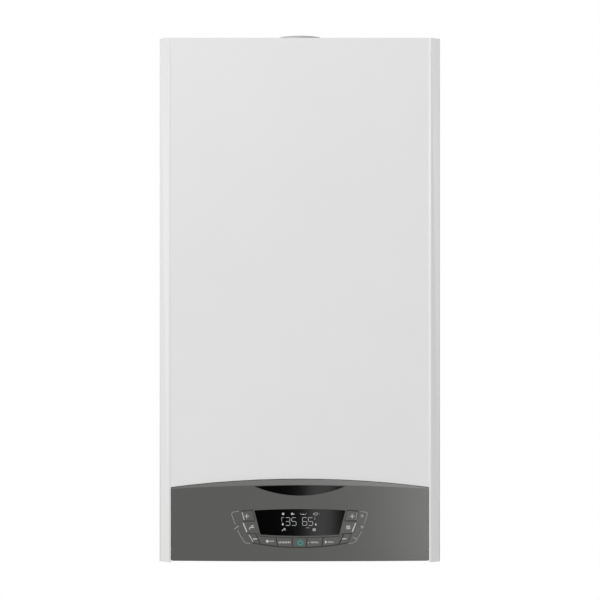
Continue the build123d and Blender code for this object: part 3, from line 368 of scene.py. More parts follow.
def outline(points, width, closed=False):
    # both sides of a line of that width, mitred at its corners
    count = len(points)
    left, right = [], []
    for i, point in enumerate(points):
        here = Vector(point)
        runs = []
        if i > 0 or closed:
            runs.append((here - Vector(points[i - 1])).normalized())
        if i < count - 1 or closed:
            runs.append((Vector(points[(i + 1) % count]) - here).normalized())
        sides = [Vector((-run.y, run.x)) for run in runs]
        middle = sum(sides, Vector((0, 0))).normalized()
        reach = width / 2 / max(leastMitre, middle.dot(sides[0]))
        left.append(here + middle * reach)
        right.append(here - middle * reach)
    return left, right


def lineFaces(points, width, closed=False):
    left, right = outline(points, width, closed)
    count = len(points)
    spans = range(count if closed else count - 1)
    return [[left[i], left[(i + 1) % count], right[(i + 1) % count], right[i]] for i in spans]


def discFaces(centre, radius, sides):
    x, z = centre
    turns = [2 * math.pi * i / sides for i in range(sides)]
    return [[Vector((x + radius * math.cos(turn), z + radius * math.sin(turn))) for turn in turns]]


def marks(name, faces, finish, body, lift=0.05, thick=0.04):
    # lays flat shapes, given as (x, z) in mm, on the bowed front as a thin layer; it serves for print and for
    # painted shade in the key gaps
    verts, polygons = [], []
    for face in faces:
        start, count = len(verts), len(face)
        for out in (lift + thick, lift):
            verts += [(x * mm, (bowFront(x) - out) * mm, z * mm) for x, z in face]
        polygons.append(list(range(start, start + count)))
        polygons.append(list(range(start + 2 * count - 1, start + count - 1, -1)))
        for i in range(count):
            j = (i + 1) % count
            polygons.append([start + i, start + count + i, start + count + j, start + j])
    piece = meshPiece(name, verts, polygons, finish)
    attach(piece, body)


controls = {
    "keyProud": 0.4,
    "signLift": 0.03,       # of a key's sign over the key
    "bracketWidth": 0.8,
    "barWidth": 1.5,
    "thinBar": 1.0,
    "signWidth": 0.9,
    "signReach": 3.2,
    "minusTilt": 0.2,
    "minusWidth": 1.26,
    "tapPlace": (-68.2, 50.2),
    "radiatorPlace": (68.6, 50.2),
    "sunPlace": (88.3, 66.5),
    "heartPlace": (88.3, 50.6),
    "powerPlace": (0.6, 28.7),
    "powerRadius": 3.4,
    "powerStroke": 1.6,
    "powerBar": (0.5, 4.5),
}


def mirrored(points, side):
    return [(side * x, z) for x, z in points]


# thin brackets beside the keys, and the bars on the keys' outer edges
leftBracket = [(-86.7, 73.0), (-94.6, 71.9), (-96.1, 71.0), (-96.6, 67.9), (-91.6, 54.5)]
leftBracketLow = [(-88.5, 46.1), (-83.5, 36.9), (-79.3, 30.2), (-77.4, 28.4), (-70.1, 27.0)]
rightBracket = [(85.5, 72.5), (93.2, 71.9), (95.2, 70.9), (95.7, 69.0), (91.5, 55.2)]
rightBracketLow = [(88.0, 45.0), (84.1, 38.3), (80.6, 32.0), (78.6, 29.7), (75.6, 28.1), (69.3, 27.0)]
fine = []
for bracket in (leftBracket, leftBracketLow, rightBracket, rightBracketLow):
    fine += lineFaces(bracket, controls["bracketWidth"])
strong = lineFaces([(-80.4, 56.3), (-75.1, 43.6)], controls["barWidth"])
strong += lineFaces([(79.2, 56.3), (74.2, 43.9)], controls["barWidth"])


def tapSign(x, z, size):
    # a tap seen from the side: body, stem and handle, each with its width
    faces = []
    for width, points in (
        (0.36, [(-1.05, -0.85), (-0.85, -0.2), (-0.2, 0.1), (1, -0.1)]),
        (0.28, [(0.3, 0.1), (0.3, 0.7)]),
        (0.25, [(-0.3, 0.75), (0.9, 0.75)]),
    ):
        faces += lineFaces([(x + u * size, z + v * size) for u, v in points], width * size)
    return faces


def radiatorSign(x, z, size):
    # four upright bars, and two rails in the gaps between them
    bars = [x + (i - 1.5) * 0.5 * size for i in range(4)]
    faces = []
    for bar in bars:
        faces += lineFaces([(bar, z - 0.8 * size), (bar, z + 0.8 * size)], 0.27 * size)
    for level in (-0.62, 0.62):
        for bar in bars[:3]:
            left = bar + 0.135 * size
            faces += lineFaces([(left, z + level * size), (left + 0.23 * size, z + level * size)], 0.2 * size)
    return faces


def flameSign(x, z, size):
    # a pointed drop
    right = [(0.42, 0.35), (0.62, -0.2), (0.42, -0.75)]
    left = [(-u, v) for u, v in reversed(right)]
    return [[Vector((x + size * u, z + size * v)) for u, v in [(0, 1.0), *right, (0, -1.0), *left]]]


# painted shade in the gaps round the keys, dark strips that widen them: the width and the right-hand points
# of those on both sides, and the curved one under the lower keys
pairedGapShade = [
    (1.15, [(80.6, 58.8), (65.2, 58.8)]),
    (1.0, [(75.0, 42.2), (62.0, 41.4)]),
    (0.45, [(83.0, 74.0), (65.8, 75.2)]),
]
lowGapShade = {"half": 67.0, "low": 21.2, "rise": 6.7, "width": 0.9}
gapShadeStrips = []
for side in (-1, 1):
    for shadeStripWidth, points in pairedGapShade:
        gapShadeStrips += lineFaces(mirrored(points, side), shadeStripWidth)
sines = [math.sin(math.radians(angle)) for angle in range(-90, 91, 10)]
lowPoints = [(lowGapShade["half"] * sine, lowGapShade["low"] + lowGapShade["rise"] * sine ** 2) for sine in sines]
gapShadeStrips += lineFaces(lowPoints, lowGapShade["width"])
# painted shade: dark strips laid over the key gaps, where shade falls
marks("keyGapShade", gapShadeStrips, "darkPrintAndShade", "control_panel", lift=0.02, thick=0.02)


def sunRay(x, z, near, far, angle, width):
    u, v = math.cos(math.radians(angle)), math.sin(math.radians(angle))
    return lineFaces([(x + near * u, z + near * v), (x + far * u, z + far * v)], width)


strong += tapSign(*controls["tapPlace"], 3.3)
strong += radiatorSign(*controls["radiatorPlace"], 3.0)
# a spanner on the left, and a sun, a heart and a spanner on the right
fine += lineFaces([(-92.3, 48.2), (-88.6, 50.8)], 1.1)
fine += discFaces((-88.0, 51.3), 1.3, 10) + discFaces((-92.3, 48.2), 0.9, 10)
fine += discFaces(controls["sunPlace"], 1.7, 12)
for i in range(8):
    fine += sunRay(*controls["sunPlace"], 2.1, 2.9, 45 * i, 0.5)
heartX, heartZ = controls["heartPlace"]
heart = [(0, -2.6), (1.9, -0.3), (2.3, 1.2), (1.4, 2.1), (0, 1.3), (-1.4, 2.1), (-2.3, 1.2), (-1.9, -0.3)]
fine += [[Vector((heartX + u, heartZ + v)) for u, v in heart]]
fine += lineFaces([(74.9, 36.9), (78.4, 34.7)], 0.9) + discFaces((79.0, 34.3), 1.1, 10)
marks("fasciaFineMarks", fine, "dimPrint", "control_panel")
marks("fasciaSigns", strong, "whitePrint", "control_panel")


def plusFaces(x, z):
    arm, width = controls["signReach"], controls["signWidth"]
    faces = lineFaces([(x - arm, z), (x + arm, z)], width)
    faces += lineFaces([(x, z + width / 2), (x, z + arm)], width)
    return faces + lineFaces([(x, z - arm), (x, z - width / 2)], width)


def minusFaces(x, z):
    arm, tilt = controls["signReach"], controls["minusTilt"]
    return lineFaces([(x - arm, z - tilt), (x + arm, z + tilt)], controls["minusWidth"])


def barRow(x, z, count, step, tall):
    # a row of short upright bars
    first = x - step * (count - 1) / 2
    faces = []
    for i in range(count):
        faces += lineFaces([(first + step * i, z - tall), (first + step * i, z + tall)], 0.5 * step)
    return faces


def powerFaces(x, z):
    # a ring open at the top, and a bar in its opening
    turns = [math.radians(angle) for angle in range(40, 321, 20)]
    radius, stroke = controls["powerRadius"], controls["powerStroke"]
    ring = [(x + radius * math.sin(turn), z + radius * math.cos(turn)) for turn in turns]
    return lineFaces(ring, stroke) + lineFaces([(x, z + v) for v in controls["powerBar"]], stroke)


thinBar = controls["thinBar"]
keySigns = {
    "key_water_up": plusFaces(-75.3, 66.2) + lineFaces([(-81.9, 71.6), (-79.0, 60.6)], thinBar),
    "key_heating_up": plusFaces(74.2, 66.0) + lineFaces([(81.3, 71.4), (79.4, 61.0)], 0.5 * thinBar),
    "key_water_down": minusFaces(-63.5, 33.9) + lineFaces([(-72.3, 40.0), (-66.3, 29.6)], thinBar),
    "key_heating_down": minusFaces(63.0, 34.1),
    "key_comfort": discFaces((-46.2, 30.7), 2.0, 14) + barRow(-40.0, 30.7, 4, 1.7, 0.9),
    "key_mode": barRow(-21.7, 29.1, 8, 2.2, 1.3),
    "key_power": powerFaces(*controls["powerPlace"]),
    "key_automatic": discFaces((11.9, 28.6), 0.8, 10) + barRow(20.9, 29.1, 6, 1.9, 1.1),
    "key_reset": [[Vector(spot) for spot in ((35.6, 31.9), (39.0, 29.5), (35.6, 27.1))]]
    + barRow(43.6, 29.5, 5, 1.7, 1.0),
}
keyLift = controls["keyProud"] + controls["signLift"]
for keyName, faces in keySigns.items():
    ink = "tealPrint" if keyName == "key_power" else "whitePrint"
    marks(keyName.replace("key_", "sign_"), faces, ink, keyName, lift=keyLift)

# display

screen = {
    "digitHeight": 11.2,
    "digitWidth": 6.3,
    "stroke": 0.62,
    "digitLow": 53.0,
    "digits": [("3", -20.4), ("5", -11.6), ("6", 3.7), ("5", 12.0)],
    "gap": 0.2,
}
# strokes of a seven-stroke digit, as corners of a box of width 1 and height 2
digitStrokes = {
    "top": ((0, 2), (1, 2)),
    "upRight": ((1, 2), (1, 1)),
    "lowRight": ((1, 1), (1, 0)),
    "bottom": ((0, 0), (1, 0)),
    "lowLeft": ((0, 0), (0, 1)),
    "upLeft": ((0, 1), (0, 2)),
    "middle": ((0, 1), (1, 1)),
}
digitShapes = {
    "3": ["top", "upRight", "middle", "lowRight", "bottom"],
    "5": ["top", "upLeft", "middle", "lowRight", "bottom"],
    "6": ["top", "upLeft", "middle", "lowLeft", "lowRight", "bottom"],
}
glyphs = []
for digit, left in screen["digits"]:
    for strokeName in digitShapes[digit]:
        first, last = [
            Vector((left + u * screen["digitWidth"], screen["digitLow"] + v * screen["digitHeight"] / 2))
            for u, v in digitStrokes[strokeName]
        ]
        trim = (last - first).normalized() * (screen["gap"] + screen["stroke"] / 2)
        glyphs += lineFaces([first + trim, last - trim], screen["stroke"])
glyphs += tapSign(-22.4, 47.0, 2.4) + radiatorSign(20.3, 46.9, 2.3)
glyphs += flameSign(-24.2, 54.9, 2.1) + flameSign(22.6, 54.6, 1.9)
# the signs of the top row and the thin lines beside the digits: width, then points
glyphs += lineFaces([(-25.8, 58.6), (-25.8, 64.3), (-22.6, 64.3)], 0.4)
glyphs += discFaces((-23.7, 69.4), 1.7, 12) + discFaces((-10.9, 69.4), 1.7, 12)
for stroke, points in (
    (0.7, [(-8.9, 68.2), (-7.3, 69.6)]),
    (0.4, [(0.4, 70.6), (1.6, 68.4), (8.0, 68.4), (9.2, 70.6)]),
    (0.7, [(3.6, 68.9), (6.0, 68.9)]),
):
    glyphs += lineFaces(points, stroke)
glyphs += lineFaces([(18.7, 69.2), (21.2, 70.8), (24.9, 70.6), (24.2, 67.9), (21.8, 67.6)], 0.55, closed=True)
glyphs += discFaces((27.4, 69.4), 0.45, 8) + lineFaces([(21.2, 64.9), (21.2, 61.0)], 0.4)
for i in range(3):
    glyphs += lineFaces([(9.0 + 1.6 * i, 49.7), (9.9 + 1.6 * i, 49.7)], 0.7)
marks("displayGlyphs", glyphs, "litGlyph", "control_panel")
print("marks, signs and display are printed")

# CAD pieces with rounded edges and smooth curves

bodyOf = {node: body for body, members in frame["record"]["behaviour"]["bodies"].items() for node in members}

# width of the rounding on sharp edges, in mm, and the pieces that have it; the others stay sharp
edgeGroups = {
    0.3: ["top_plate", "connection_plate", "hinge_brackets", "chamber_tray"],
    0.35: [nodeName for nodeName in nodes if nodeName.startswith("key_")],
    0.4: ["back_panel"],
    0.5: ["side_panel_left", "side_panel_right", "wall_bracket"],
    0.7: ["flue_adaptor", "filling_tap"],
    0.8: ["safety_valve", "pressure_gauge"],
    1.0: ["control_box", "gas_valve", "plate_exchanger"],
    1.2: ["chamber_seal", "heat_exchanger", "burner_door"],
    1.4: ["safety_knob", "filling_knob"],
    1.5: ["fan_motor", "air_intake", "flow_manifold", "return_manifold", "condensate_trap"],
    2.0: ["fan_volute", "diverter_motor", "pump_housing", "pump_motor"],
    2.5: ["premix_duct"],
    8.0: ["expansion_vessel"],
}
edgeWidth = {nodeName: width for width, group in edgeGroups.items() for nodeName in group}
rounding = {"segments": 2, "fromAngle": 40}
cleaning = {"merge": 2e-6, "shortest": 1e-7, "flatAngle": 0.4}  # metres, metres and degrees
# degrees; edges sharper than this stay crisp
smoothAngles = {"plain": 32, "keys": 8, "threads": 40, "turned": 25, "all": 180}


def mergedCopy(nodeName, finish, tidyFaces):
    mesh = nodes[nodeName].data.copy()
    mesh.name = nodeName + "Form"
    work = bmesh.new()
    work.from_mesh(mesh)
    bmesh.ops.remove_doubles(work, verts=work.verts, dist=cleaning["merge"])
    bmesh.ops.dissolve_degenerate(work, edges=work.edges, dist=cleaning["shortest"])
    if tidyFaces:
        flat = math.radians(cleaning["flatAngle"])
        bmesh.ops.dissolve_limit(work, angle_limit=flat, verts=work.verts, edges=work.edges)
    work.to_mesh(mesh)
    work.free()
    mesh.materials.clear()
    mesh.materials.append(surface(finish))
    return newObject(mesh.name, mesh)


def smoothShade(mesh, kind="plain"):
    mesh.polygons.foreach_set("use_smooth", [True] * len(mesh.polygons))
    mesh.set_sharp_from_angle(angle=math.radians(smoothAngles[kind]))


def keepFor(piece, *nodeNames):
    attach(piece, bodyOf[nodeNames[0]])
    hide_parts(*nodeNames)
    return piece


def takeSheen(piece, lampName):
    lamps[lampName].light_linking.receiver_collection.objects.link(piece)


# the chamfer round each key's front, coloured darker as painted shade, in mm, and how far forward a front
# face has to look
keyRim = {"width": 0.9, "drop": 0.25, "facing": 0.9}


def chamferFront(mesh):
    work = bmesh.new()
    work.from_mesh(mesh)
    shade = work.faces.layers.float.new("rim")
    front = []
    for face in work.faces:
        middle = face.calc_center_median()
        if face.normal.y < -keyRim["facing"] and middle.y < bowFront(middle.x / mm) * mm:
            front.append(face)
    border = {corner for face in front for edge in face.edges for corner in edge.verts
              if any(other not in front for other in edge.link_faces)}
    ring = bmesh.ops.inset_region(
        work, faces=front, thickness=keyRim["width"] * mm, use_boundary=True, use_even_offset=True
    )
    # painted shade: the chamfer's faces carry "rim", which colours them darker
    for face in ring["faces"]:
        face[shade] = 1.0
    for corner in border:
        corner.co.y += keyRim["drop"] * mm
    work.to_mesh(mesh)
    work.free()


def finishedNode(nodeName, width):
    piece = mergedCopy(nodeName, slotFinish[nodeSlot[nodeName]], width > 0)
    isKey = nodeName.startswith("key_")
    if isKey:
        chamferFront(piece.data)
    smoothShade(piece.data, "keys" if isKey else "plain")
    cutter = boreCutter(bores[nodeName]) if nodeName in bores else None
    if cutter:
        cut = piece.modifiers.new("cut", "BOOLEAN")
        cut.operation = "DIFFERENCE"
        cut.object = cutter
    if width > 0:
        edge = piece.modifiers.new("edge", "BEVEL")
        edge.width = width * mm
        edge.segments = rounding["segments"]
        edge.limit_method = "ANGLE"
        edge.angle_limit = math.radians(rounding["fromAngle"])
        edge.use_clamp_overlap = True
        edge.harden_normals = True
    if piece.modifiers:
        mesh = plainMesh(piece)
        piece.modifiers.clear()
        piece.data = mesh
    if cutter:
        bpy.data.objects.remove(cutter)
    return keepFor(piece, nodeName)


def bowedNode(nodeName, finish):
    # smooth normals on the piece's bowed front, flat ones elsewhere
    piece = mergedCopy(nodeName, finish, False)
    mesh = piece.data
    smoothShade(mesh, "all")
    centreY = (bow["crownY"] + bowRadius) * mm
    normals = []
    for polygon in mesh.polygons:
        spots = [mesh.vertices[v].co for v in polygon.vertices]
        onBow = polygon.normal.y < -bow["facing"] and all(
            spot.y < (bowFront(spot.x / mm) + bow["slack"]) * mm for spot in spots
        )
        for spot in spots:
            normal = Vector((spot.x, spot.y - centreY, 0)).normalized() if onBow else polygon.normal.copy()
            normals.append(tuple(normal))
    mesh.normals_split_custom_set(normals)
    return keepFor(piece, nodeName)


# open ends cut into pieces whose solids end flat, in mm
bores = {"safety_valve": {"place": (132.0, -182.0, -10.0), "depth": 40.0, "radius": 6.2, "sides": 48}}


def boreCutter(spec):
    mesh = bpy.data.meshes.new("boreCutter")
    work = bmesh.new()
    radius = spec["radius"] * mm
    bmesh.ops.create_cone(
        work, cap_ends=True, segments=spec["sides"], radius1=radius, radius2=radius,
        depth=2 * spec["depth"] * mm, matrix=Matrix.Translation(inMetres([spec["place"]])[0]),
    )
    work.to_mesh(mesh)
    work.free()
    return newObject(mesh.name, mesh)


madeAnew = {"pipe_tails"}
bowedNodes = {
    "control_fascia": ("fasciaPlastic", ["sheenLamp", "bandLamp"]),
    "display_window": ("blackGloss", ["stripLamp"]),
    "black_lens": ("blackGloss", ["stripLamp"]),
}
for nodeName, (finish, lampNames) in bowedNodes.items():
    piece = bowedNode(nodeName, finish)
    for lampName in lampNames:
        takeSheen(piece, lampName)
for nodeName in sorted(nodes):
    if nodeName in madeAnew or nodeName in bowedNodes:
        continue
    piece = finishedNode(nodeName, edgeWidth.get(nodeName, 0))
    if nodeName.startswith("key_"):
        takeSheen(piece, "sheenLamp")
print("CAD pieces have rounded edges and smooth curves")

# threaded pipe tails

tails = {
    "y": -140.0,
    "low": -18.0,
    "high": 67.0,
    "boreDepth": 58.0,
    "threadTop": -2.0,
    "leadIn": 1.4,
    "wall": 2.5,
    "pitch": 1.814,
    "threadDepth": 1.16,
    "large": {"radius": 13.22, "places": (-130.0, 0.0, 130.0)},
    "small": {"radius": 10.48, "places": (-65.0, 65.0)},
    "sides": 48,
    "rows": 100,
}


def spunGrid(tree, sides, rows):
    # a grid to be wrapped round the z axis: its turn (0 to 1) and its way along the profile (0 to 1)
    grid = tree.add("GeometryNodeMeshGrid", {
        "Size X": 1.0, "Size Y": 1.0, "Vertices X": sides + 1, "Vertices Y": rows + 1,
    })
    place = tree.add("ShaderNodeSeparateXYZ", {"Vector": tree.add("GeometryNodeInputPosition").outputs[0]})
    turn, way = [tree.math("ADD", place.outputs[axis], 0.5) for axis in ("X", "Y")]
    return grid.outputs["Mesh"], turn, way


weldDistance = 1e-5  # metres; closes the seam and the ends of a wrapped grid


def wrapGrid(tree, grid, turn, radius, height):
    angle = tree.math("MULTIPLY", turn, 2 * math.pi)
    spot = tree.add("ShaderNodeCombineXYZ", {
        "X": tree.math("MULTIPLY", radius, tree.math("COSINE", angle)),
        "Y": tree.math("MULTIPLY", radius, tree.math("SINE", angle)),
        "Z": height,
    })
    moved = tree.add("GeometryNodeSetPosition", {"Geometry": grid, "Position": spot.outputs[0]})
    welded = tree.add("GeometryNodeMergeByDistance", {"Geometry": moved.outputs[0], "Distance": weldDistance})
    return welded.outputs[0]


def ramp(tree, value, start, end, low, high):
    node = tree.add("ShaderNodeMapRange", {
        "Value": value, "From Min": start, "From Max": end, "To Min": low, "To Max": high,
    })
    return node.outputs["Result"]


def copiesAt(tree, shape):
    placed = tree.add("GeometryNodeInstanceOnPoints", {
        "Points": tree.given["Geometry"], "Instance": shape, "Rotation": tree.given["Turn"],
    })
    return placed.outputs[0]


# where the top, the plain part, the thread, the lower rim and the bore end, as shares of the rows
tailShares = {"top": 0.03, "plain": 0.10, "thread": 0.80, "rim": 0.83, "bore": 0.97}


tailLabels = {
    "Wall": "wall", "Low": "low", "High": "high", "Thread Top": "threadTop", "Pitch": "pitch",
    "Thread Depth": "threadDepth", "Lead In": "leadIn", "Bore Depth": "boreDepth",
}


def threadTree(sides, rows):
    tree = Tree("threadedTail", "Radius", *tailLabels, "Turn")
    given = tree.given
    grid, turn, way = spunGrid(tree, sides, rows)
    topEnd, plainEnd, threadEnd, rimEnd, boreEnd = tailShares.values()
    plain = ramp(tree, way, topEnd, plainEnd, given["High"], given["Thread Top"])
    drop = tree.math("SUBTRACT", given["Low"], given["Thread Top"])
    threaded = ramp(tree, way, plainEnd, threadEnd, 0.0, drop)
    upBore = ramp(tree, way, rimEnd, boreEnd, 0.0, given["Bore Depth"])
    height = tree.math("ADD", tree.math("ADD", plain, threaded), upBore)
    laps = tree.math("DIVIDE", height, given["Pitch"])
    wave = tree.math("PINGPONG", tree.math("SUBTRACT", laps, turn), 0.5)
    hollow = tree.math("MULTIPLY", wave, 2.0)
    lead = ramp(tree, height, given["Low"], tree.math("ADD", given["Low"], given["Lead In"]), 1.0, 0.0)
    depth = tree.math("MULTIPLY", tree.math("MAXIMUM", hollow, lead), given["Thread Depth"])
    runOut = tree.math("SUBTRACT", given["Thread Top"], given["Lead In"])
    depth = tree.math("MULTIPLY", depth, ramp(tree, height, given["Thread Top"], runOut, 0.0, 1.0))
    outer = tree.math("SUBTRACT", given["Radius"], depth)
    outer = tree.math("MULTIPLY", outer, ramp(tree, way, 0.0, topEnd, 0.0, 1.0))
    inner = tree.math("SUBTRACT", given["Radius"], given["Wall"])
    inner = tree.math("MULTIPLY", inner, ramp(tree, way, boreEnd, 1.0, 1.0, 0.0))
    inside = ramp(tree, way, threadEnd, rimEnd, 0.0, 1.0)
    outerShare = tree.math("MULTIPLY", outer, tree.math("SUBTRACT", 1.0, inside))
    radius = tree.math("ADD", outerShare, tree.math("MULTIPLY", inner, inside))
    return tree.close(copiesAt(tree, wrapGrid(tree, grid, turn, radius, height)))


def joined(name, pieces):
    # one mesh from several, with its faces turned outwards
    work = bmesh.new()
    for piece in pieces:
        work.from_mesh(piece.data)
    bmesh.ops.recalc_face_normals(work, faces=work.faces)
    mesh = bpy.data.meshes.new(name)
    work.to_mesh(mesh)
    work.free()
    for material in pieces[0].data.materials:
        mesh.materials.append(material)
    for piece in pieces:
        bpy.data.objects.remove(piece)
    return newObject(name, mesh)


def grownGroup(name, tree, finish, spec, values):
    # copies of one shape at all the places of its dictionary, with their faces turned outwards
    sizes = {"Radius": spec["radius"] * mm, "Height": spec["height"] * mm}
    run = grownPiece(name + "Run", tree, finish, {**sizes, **values}, inMetres(spec["places"]))
    return joined(name, [run])


tailTree = threadTree(tails["sides"], tails["rows"])
values = {label: tails[key] * mm for label, key in tailLabels.items()}
tailRuns = []
for size in ("large", "small"):
    spec = tails[size]
    values["Radius"] = spec["radius"] * mm
    points = inMetres([(x, tails["y"], 0) for x in spec["places"]])
    tailRuns.append(grownPiece(size + "Tails", tailTree, "brassTurned", values, points))
pipeTails = joined("pipeTails", tailRuns)
smoothShade(pipeTails.data, "threads")
keepFor(pipeTails, "pipe_tails")
print("pipe tails are threaded")

# screws

screwForm = {
    "sides": 20,
    "rows": 10,
    "seat": 0.2,        # share of the rows under the head
    "dome": 0.6,        # below 1 the dome is fuller than a ball
    "slotWidth": 0.24,  # the recess, as shares of the head's radius and height
    "slotLength": 1.15,
    "slotHeight": 0.95,
}


def screwTree():
    # a domed head with a cross recess, its seat at the point it stands on
    tree = Tree("crossScrew", "Radius", "Height", "Slot", "Turn")
    given = tree.given
    grid, turn, way = spunGrid(tree, screwForm["sides"], screwForm["rows"])
    lift = tree.math("MULTIPLY", ramp(tree, way, screwForm["seat"], 1.0, 0.0, 1.0), quarter)
    domed = tree.math("POWER", tree.math("COSINE", lift), screwForm["dome"])
    domed = tree.math("MULTIPLY", domed, ramp(tree, way, 0.0, screwForm["seat"], 0.0, 1.0))
    radius = tree.math("MULTIPLY", domed, given["Radius"])
    head = wrapGrid(tree, grid, turn, radius, tree.math("MULTIPLY", tree.math("SINE", lift), given["Height"]))
    length = tree.math("MULTIPLY", given["Radius"], screwForm["slotLength"])
    size = tree.add("ShaderNodeCombineXYZ", {"X": length, "Y": given["Slot"], "Z": given["Height"]})
    bar = tree.add("GeometryNodeMeshCube", {"Size": size.outputs[0]}).outputs[0]
    raised = tree.add("ShaderNodeCombineXYZ", {
        "Z": tree.math("MULTIPLY", given["Height"], screwForm["slotHeight"]),
    })
    slots = []
    for angle in (0, quarter):
        slots.append(tree.add("GeometryNodeTransform", {
            "Geometry": bar, "Translation": raised.outputs[0], "Rotation": (0, 0, angle),
        }).outputs[0])
    cut = tree.add("GeometryNodeMeshBoolean", {"Mesh 1": head}, operation="DIFFERENCE")
    for slotShape in slots:
        tree.tree.links.new(slotShape, cut.inputs["Mesh 2"])
    return tree.close(copiesAt(tree, cut.outputs[0]))


facings = {"up": (0, 0, 0), "down": (math.pi, 0, 0), "front": (quarter, 0, 0), "rear": (-quarter, 0, 0)}
fanTurns = [math.radians(angle) for angle in (45, 135, 225, 315)]
fanCircle = [(46 * math.cos(turn), 46 * math.sin(turn)) for turn in fanTurns]
screwGroups = {
    "coverScrews": {"radius": 4.2, "height": 2.4, "face": "down",
                    "places": [(x, -288, -0.2) for x in (-191.5, 191.5)]},
    "topScrews": {"radius": 3.8, "height": 2.2, "face": "up",
                  "places": [(x, y, 745) for x in (-188, 188) for y in (-22, -248)]},
    "flueScrews": {"radius": 3.6, "height": 2.2, "face": "up",
                   "places": [(x, -150 + y, 747) for x in (-48, 48) for y in (-48, 48)]},
    "floorScrews": {"radius": 3.6, "height": 2.2, "face": "down",
                    "places": [(x, y, 20) for x in (-182, 182) for y in (-40, -228)]},
    "fanScrews": {"radius": 3.4, "height": 2.2, "face": "front",
                  "places": [(112 + x, -271, 470 + z) for x, z in fanCircle]},
    "pumpScrews": {"radius": 3.0, "height": 2.0, "face": "front",
                   "places": [(105 + x, -230, 158 + z) for x in (-27, 27) for z in (-27, 27)]},
    "boxScrews": {"radius": 3.2, "height": 2.0, "face": "rear", "body": "control_panel",
                  "places": [(x, -247, z) for x in (-150, 150) for z in (14, 50)]},
}
screwShape = screwTree()
for groupName, spec in screwGroups.items():
    screws = grownGroup(groupName, screwShape, "plainSteel", spec, {
        "Slot": screwForm["slotWidth"] * spec["radius"] * mm, "Turn": facings[spec["face"]],
    })
    smoothShade(screws.data)
    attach(screws, spec.get("body", "chassis"))
print("screws are in")

# union nuts, cooling ribs and beads


def turnedTree(sides, name):
    # a turned or hexagonal disc with both rims bevelled, copied to every point
    tree = Tree(name, "Radius", "Height", "Bevel", "Turn")
    given = tree.given
    grid, turn, way = spunGrid(tree, sides, 5)
    # five rows: the underside, the lower bevel, the side, the upper bevel and the top
    full = tree.math("MULTIPLY", ramp(tree, way, 0.0, 0.2, 0.0, 1.0), ramp(tree, way, 0.8, 1.0, 1.0, 0.0))
    rim = tree.math("MAXIMUM", ramp(tree, way, 0.2, 0.4, 1.0, 0.0), ramp(tree, way, 0.6, 0.8, 0.0, 1.0))
    bevelled = tree.math("SUBTRACT", given["Radius"], tree.math("MULTIPLY", rim, given["Bevel"]))
    radius = tree.math("MULTIPLY", full, bevelled)
    lower = ramp(tree, way, 0.2, 0.4, 0.0, given["Bevel"])
    side = tree.math("SUBTRACT", given["Height"], tree.math("MULTIPLY", given["Bevel"], 2.0))
    middle = ramp(tree, way, 0.4, 0.6, 0.0, side)
    upper = ramp(tree, way, 0.6, 0.8, 0.0, given["Bevel"])
    height = tree.math("ADD", tree.math("ADD", lower, middle), upper)
    return tree.close(copiesAt(tree, wrapGrid(tree, grid, turn, radius, height)))


turnings = {
    "flowNuts": {"hex": True, "radius": 17, "height": 13, "bevel": 1.6, "finish": "brassTurned",
                 "places": [(-94, -140, 103.2), (-94, -140, 326), (-30, -140, 326)]},
    "gasNuts": {"hex": True, "radius": 13, "height": 12, "bevel": 1.4, "finish": "brassTurned",
                "places": [(0, -140, 67.2), (120, -204, 333.6)]},
    "largeTailNuts": {"hex": True, "radius": 18.5, "height": 7, "bevel": 1.4, "finish": "brassTurned",
                      "places": [(x, -140, 21.7) for x in (-130, 0, 130)]},
    "smallTailNuts": {"hex": True, "radius": 15, "height": 7, "bevel": 1.2, "finish": "brassTurned",
                      "places": [(x, -140, 21.7) for x in (-65, 65)]},
    "motorRibs": {"hex": False, "radius": 31.4, "height": 1.6, "bevel": 0.3, "finish": "blackPlastic",
                  "places": [(112, -274 - 4.2 * i, 470) for i in range(6)]},
    "pumpRibs": {"hex": False, "radius": 40.6, "height": 1.8, "bevel": 0.4, "finish": "pumpIron",
                 "places": [(105, -169 - 5.5 * i, 158) for i in range(7)]},
    "pumpPlug": {"hex": False, "radius": 9, "height": 2.2, "bevel": 0.6, "finish": "brassTurned",
                 "places": [(105, -230, 158)]},
}
hexShape, roundShape = turnedTree(6, "hexNut"), turnedTree(64, "roundRib")
for name, spec in turnings.items():
    # the nuts stand upright on their pipes, and the round pieces face forwards
    shape, face = (hexShape, "up") if spec["hex"] else (roundShape, "front")
    turned = grownGroup(name, shape, spec["finish"], spec, {
        "Bevel": spec["bevel"] * mm, "Turn": facings[face],
    })
    smoothShade(turned.data, "turned")
    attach(turned, "chassis")
print("nuts and ribs are in")

# pressure gauge

gauge = {
    "centre": (163.0, -203.0),
    "face": 4.0,            # height of the dial, which looks down
    "bezelRadius": 20.0,
    "bezelWidth": 2.2,
    "bezelLow": 1.6,
    "tickRadius": 16.6,
    "ticks": 21,
    "tickSize": (0.35, 1.5, 0.12),
    "tickDrop": 0.06,       # of the ticks' middle under the dial
    "longEvery": 5,
    "longExtra": 0.8,       # how much longer those are, as a share
    "numberRadius": 11.6,
    "numberSize": 5.4,
    "numberThick": 0.04,    # either way from the middle
    "numberDrop": 0.05,
    "zeroAngle": 0.0,       # degrees from the rear, clockwise as seen from below
    "sweep": 270.0,
}


def dialSpot(angle, radius, low):
    turn = math.radians(angle)
    x, y = gauge["centre"]
    return ((x - radius * math.sin(turn)) * mm, (y + radius * math.cos(turn)) * mm, low * mm)


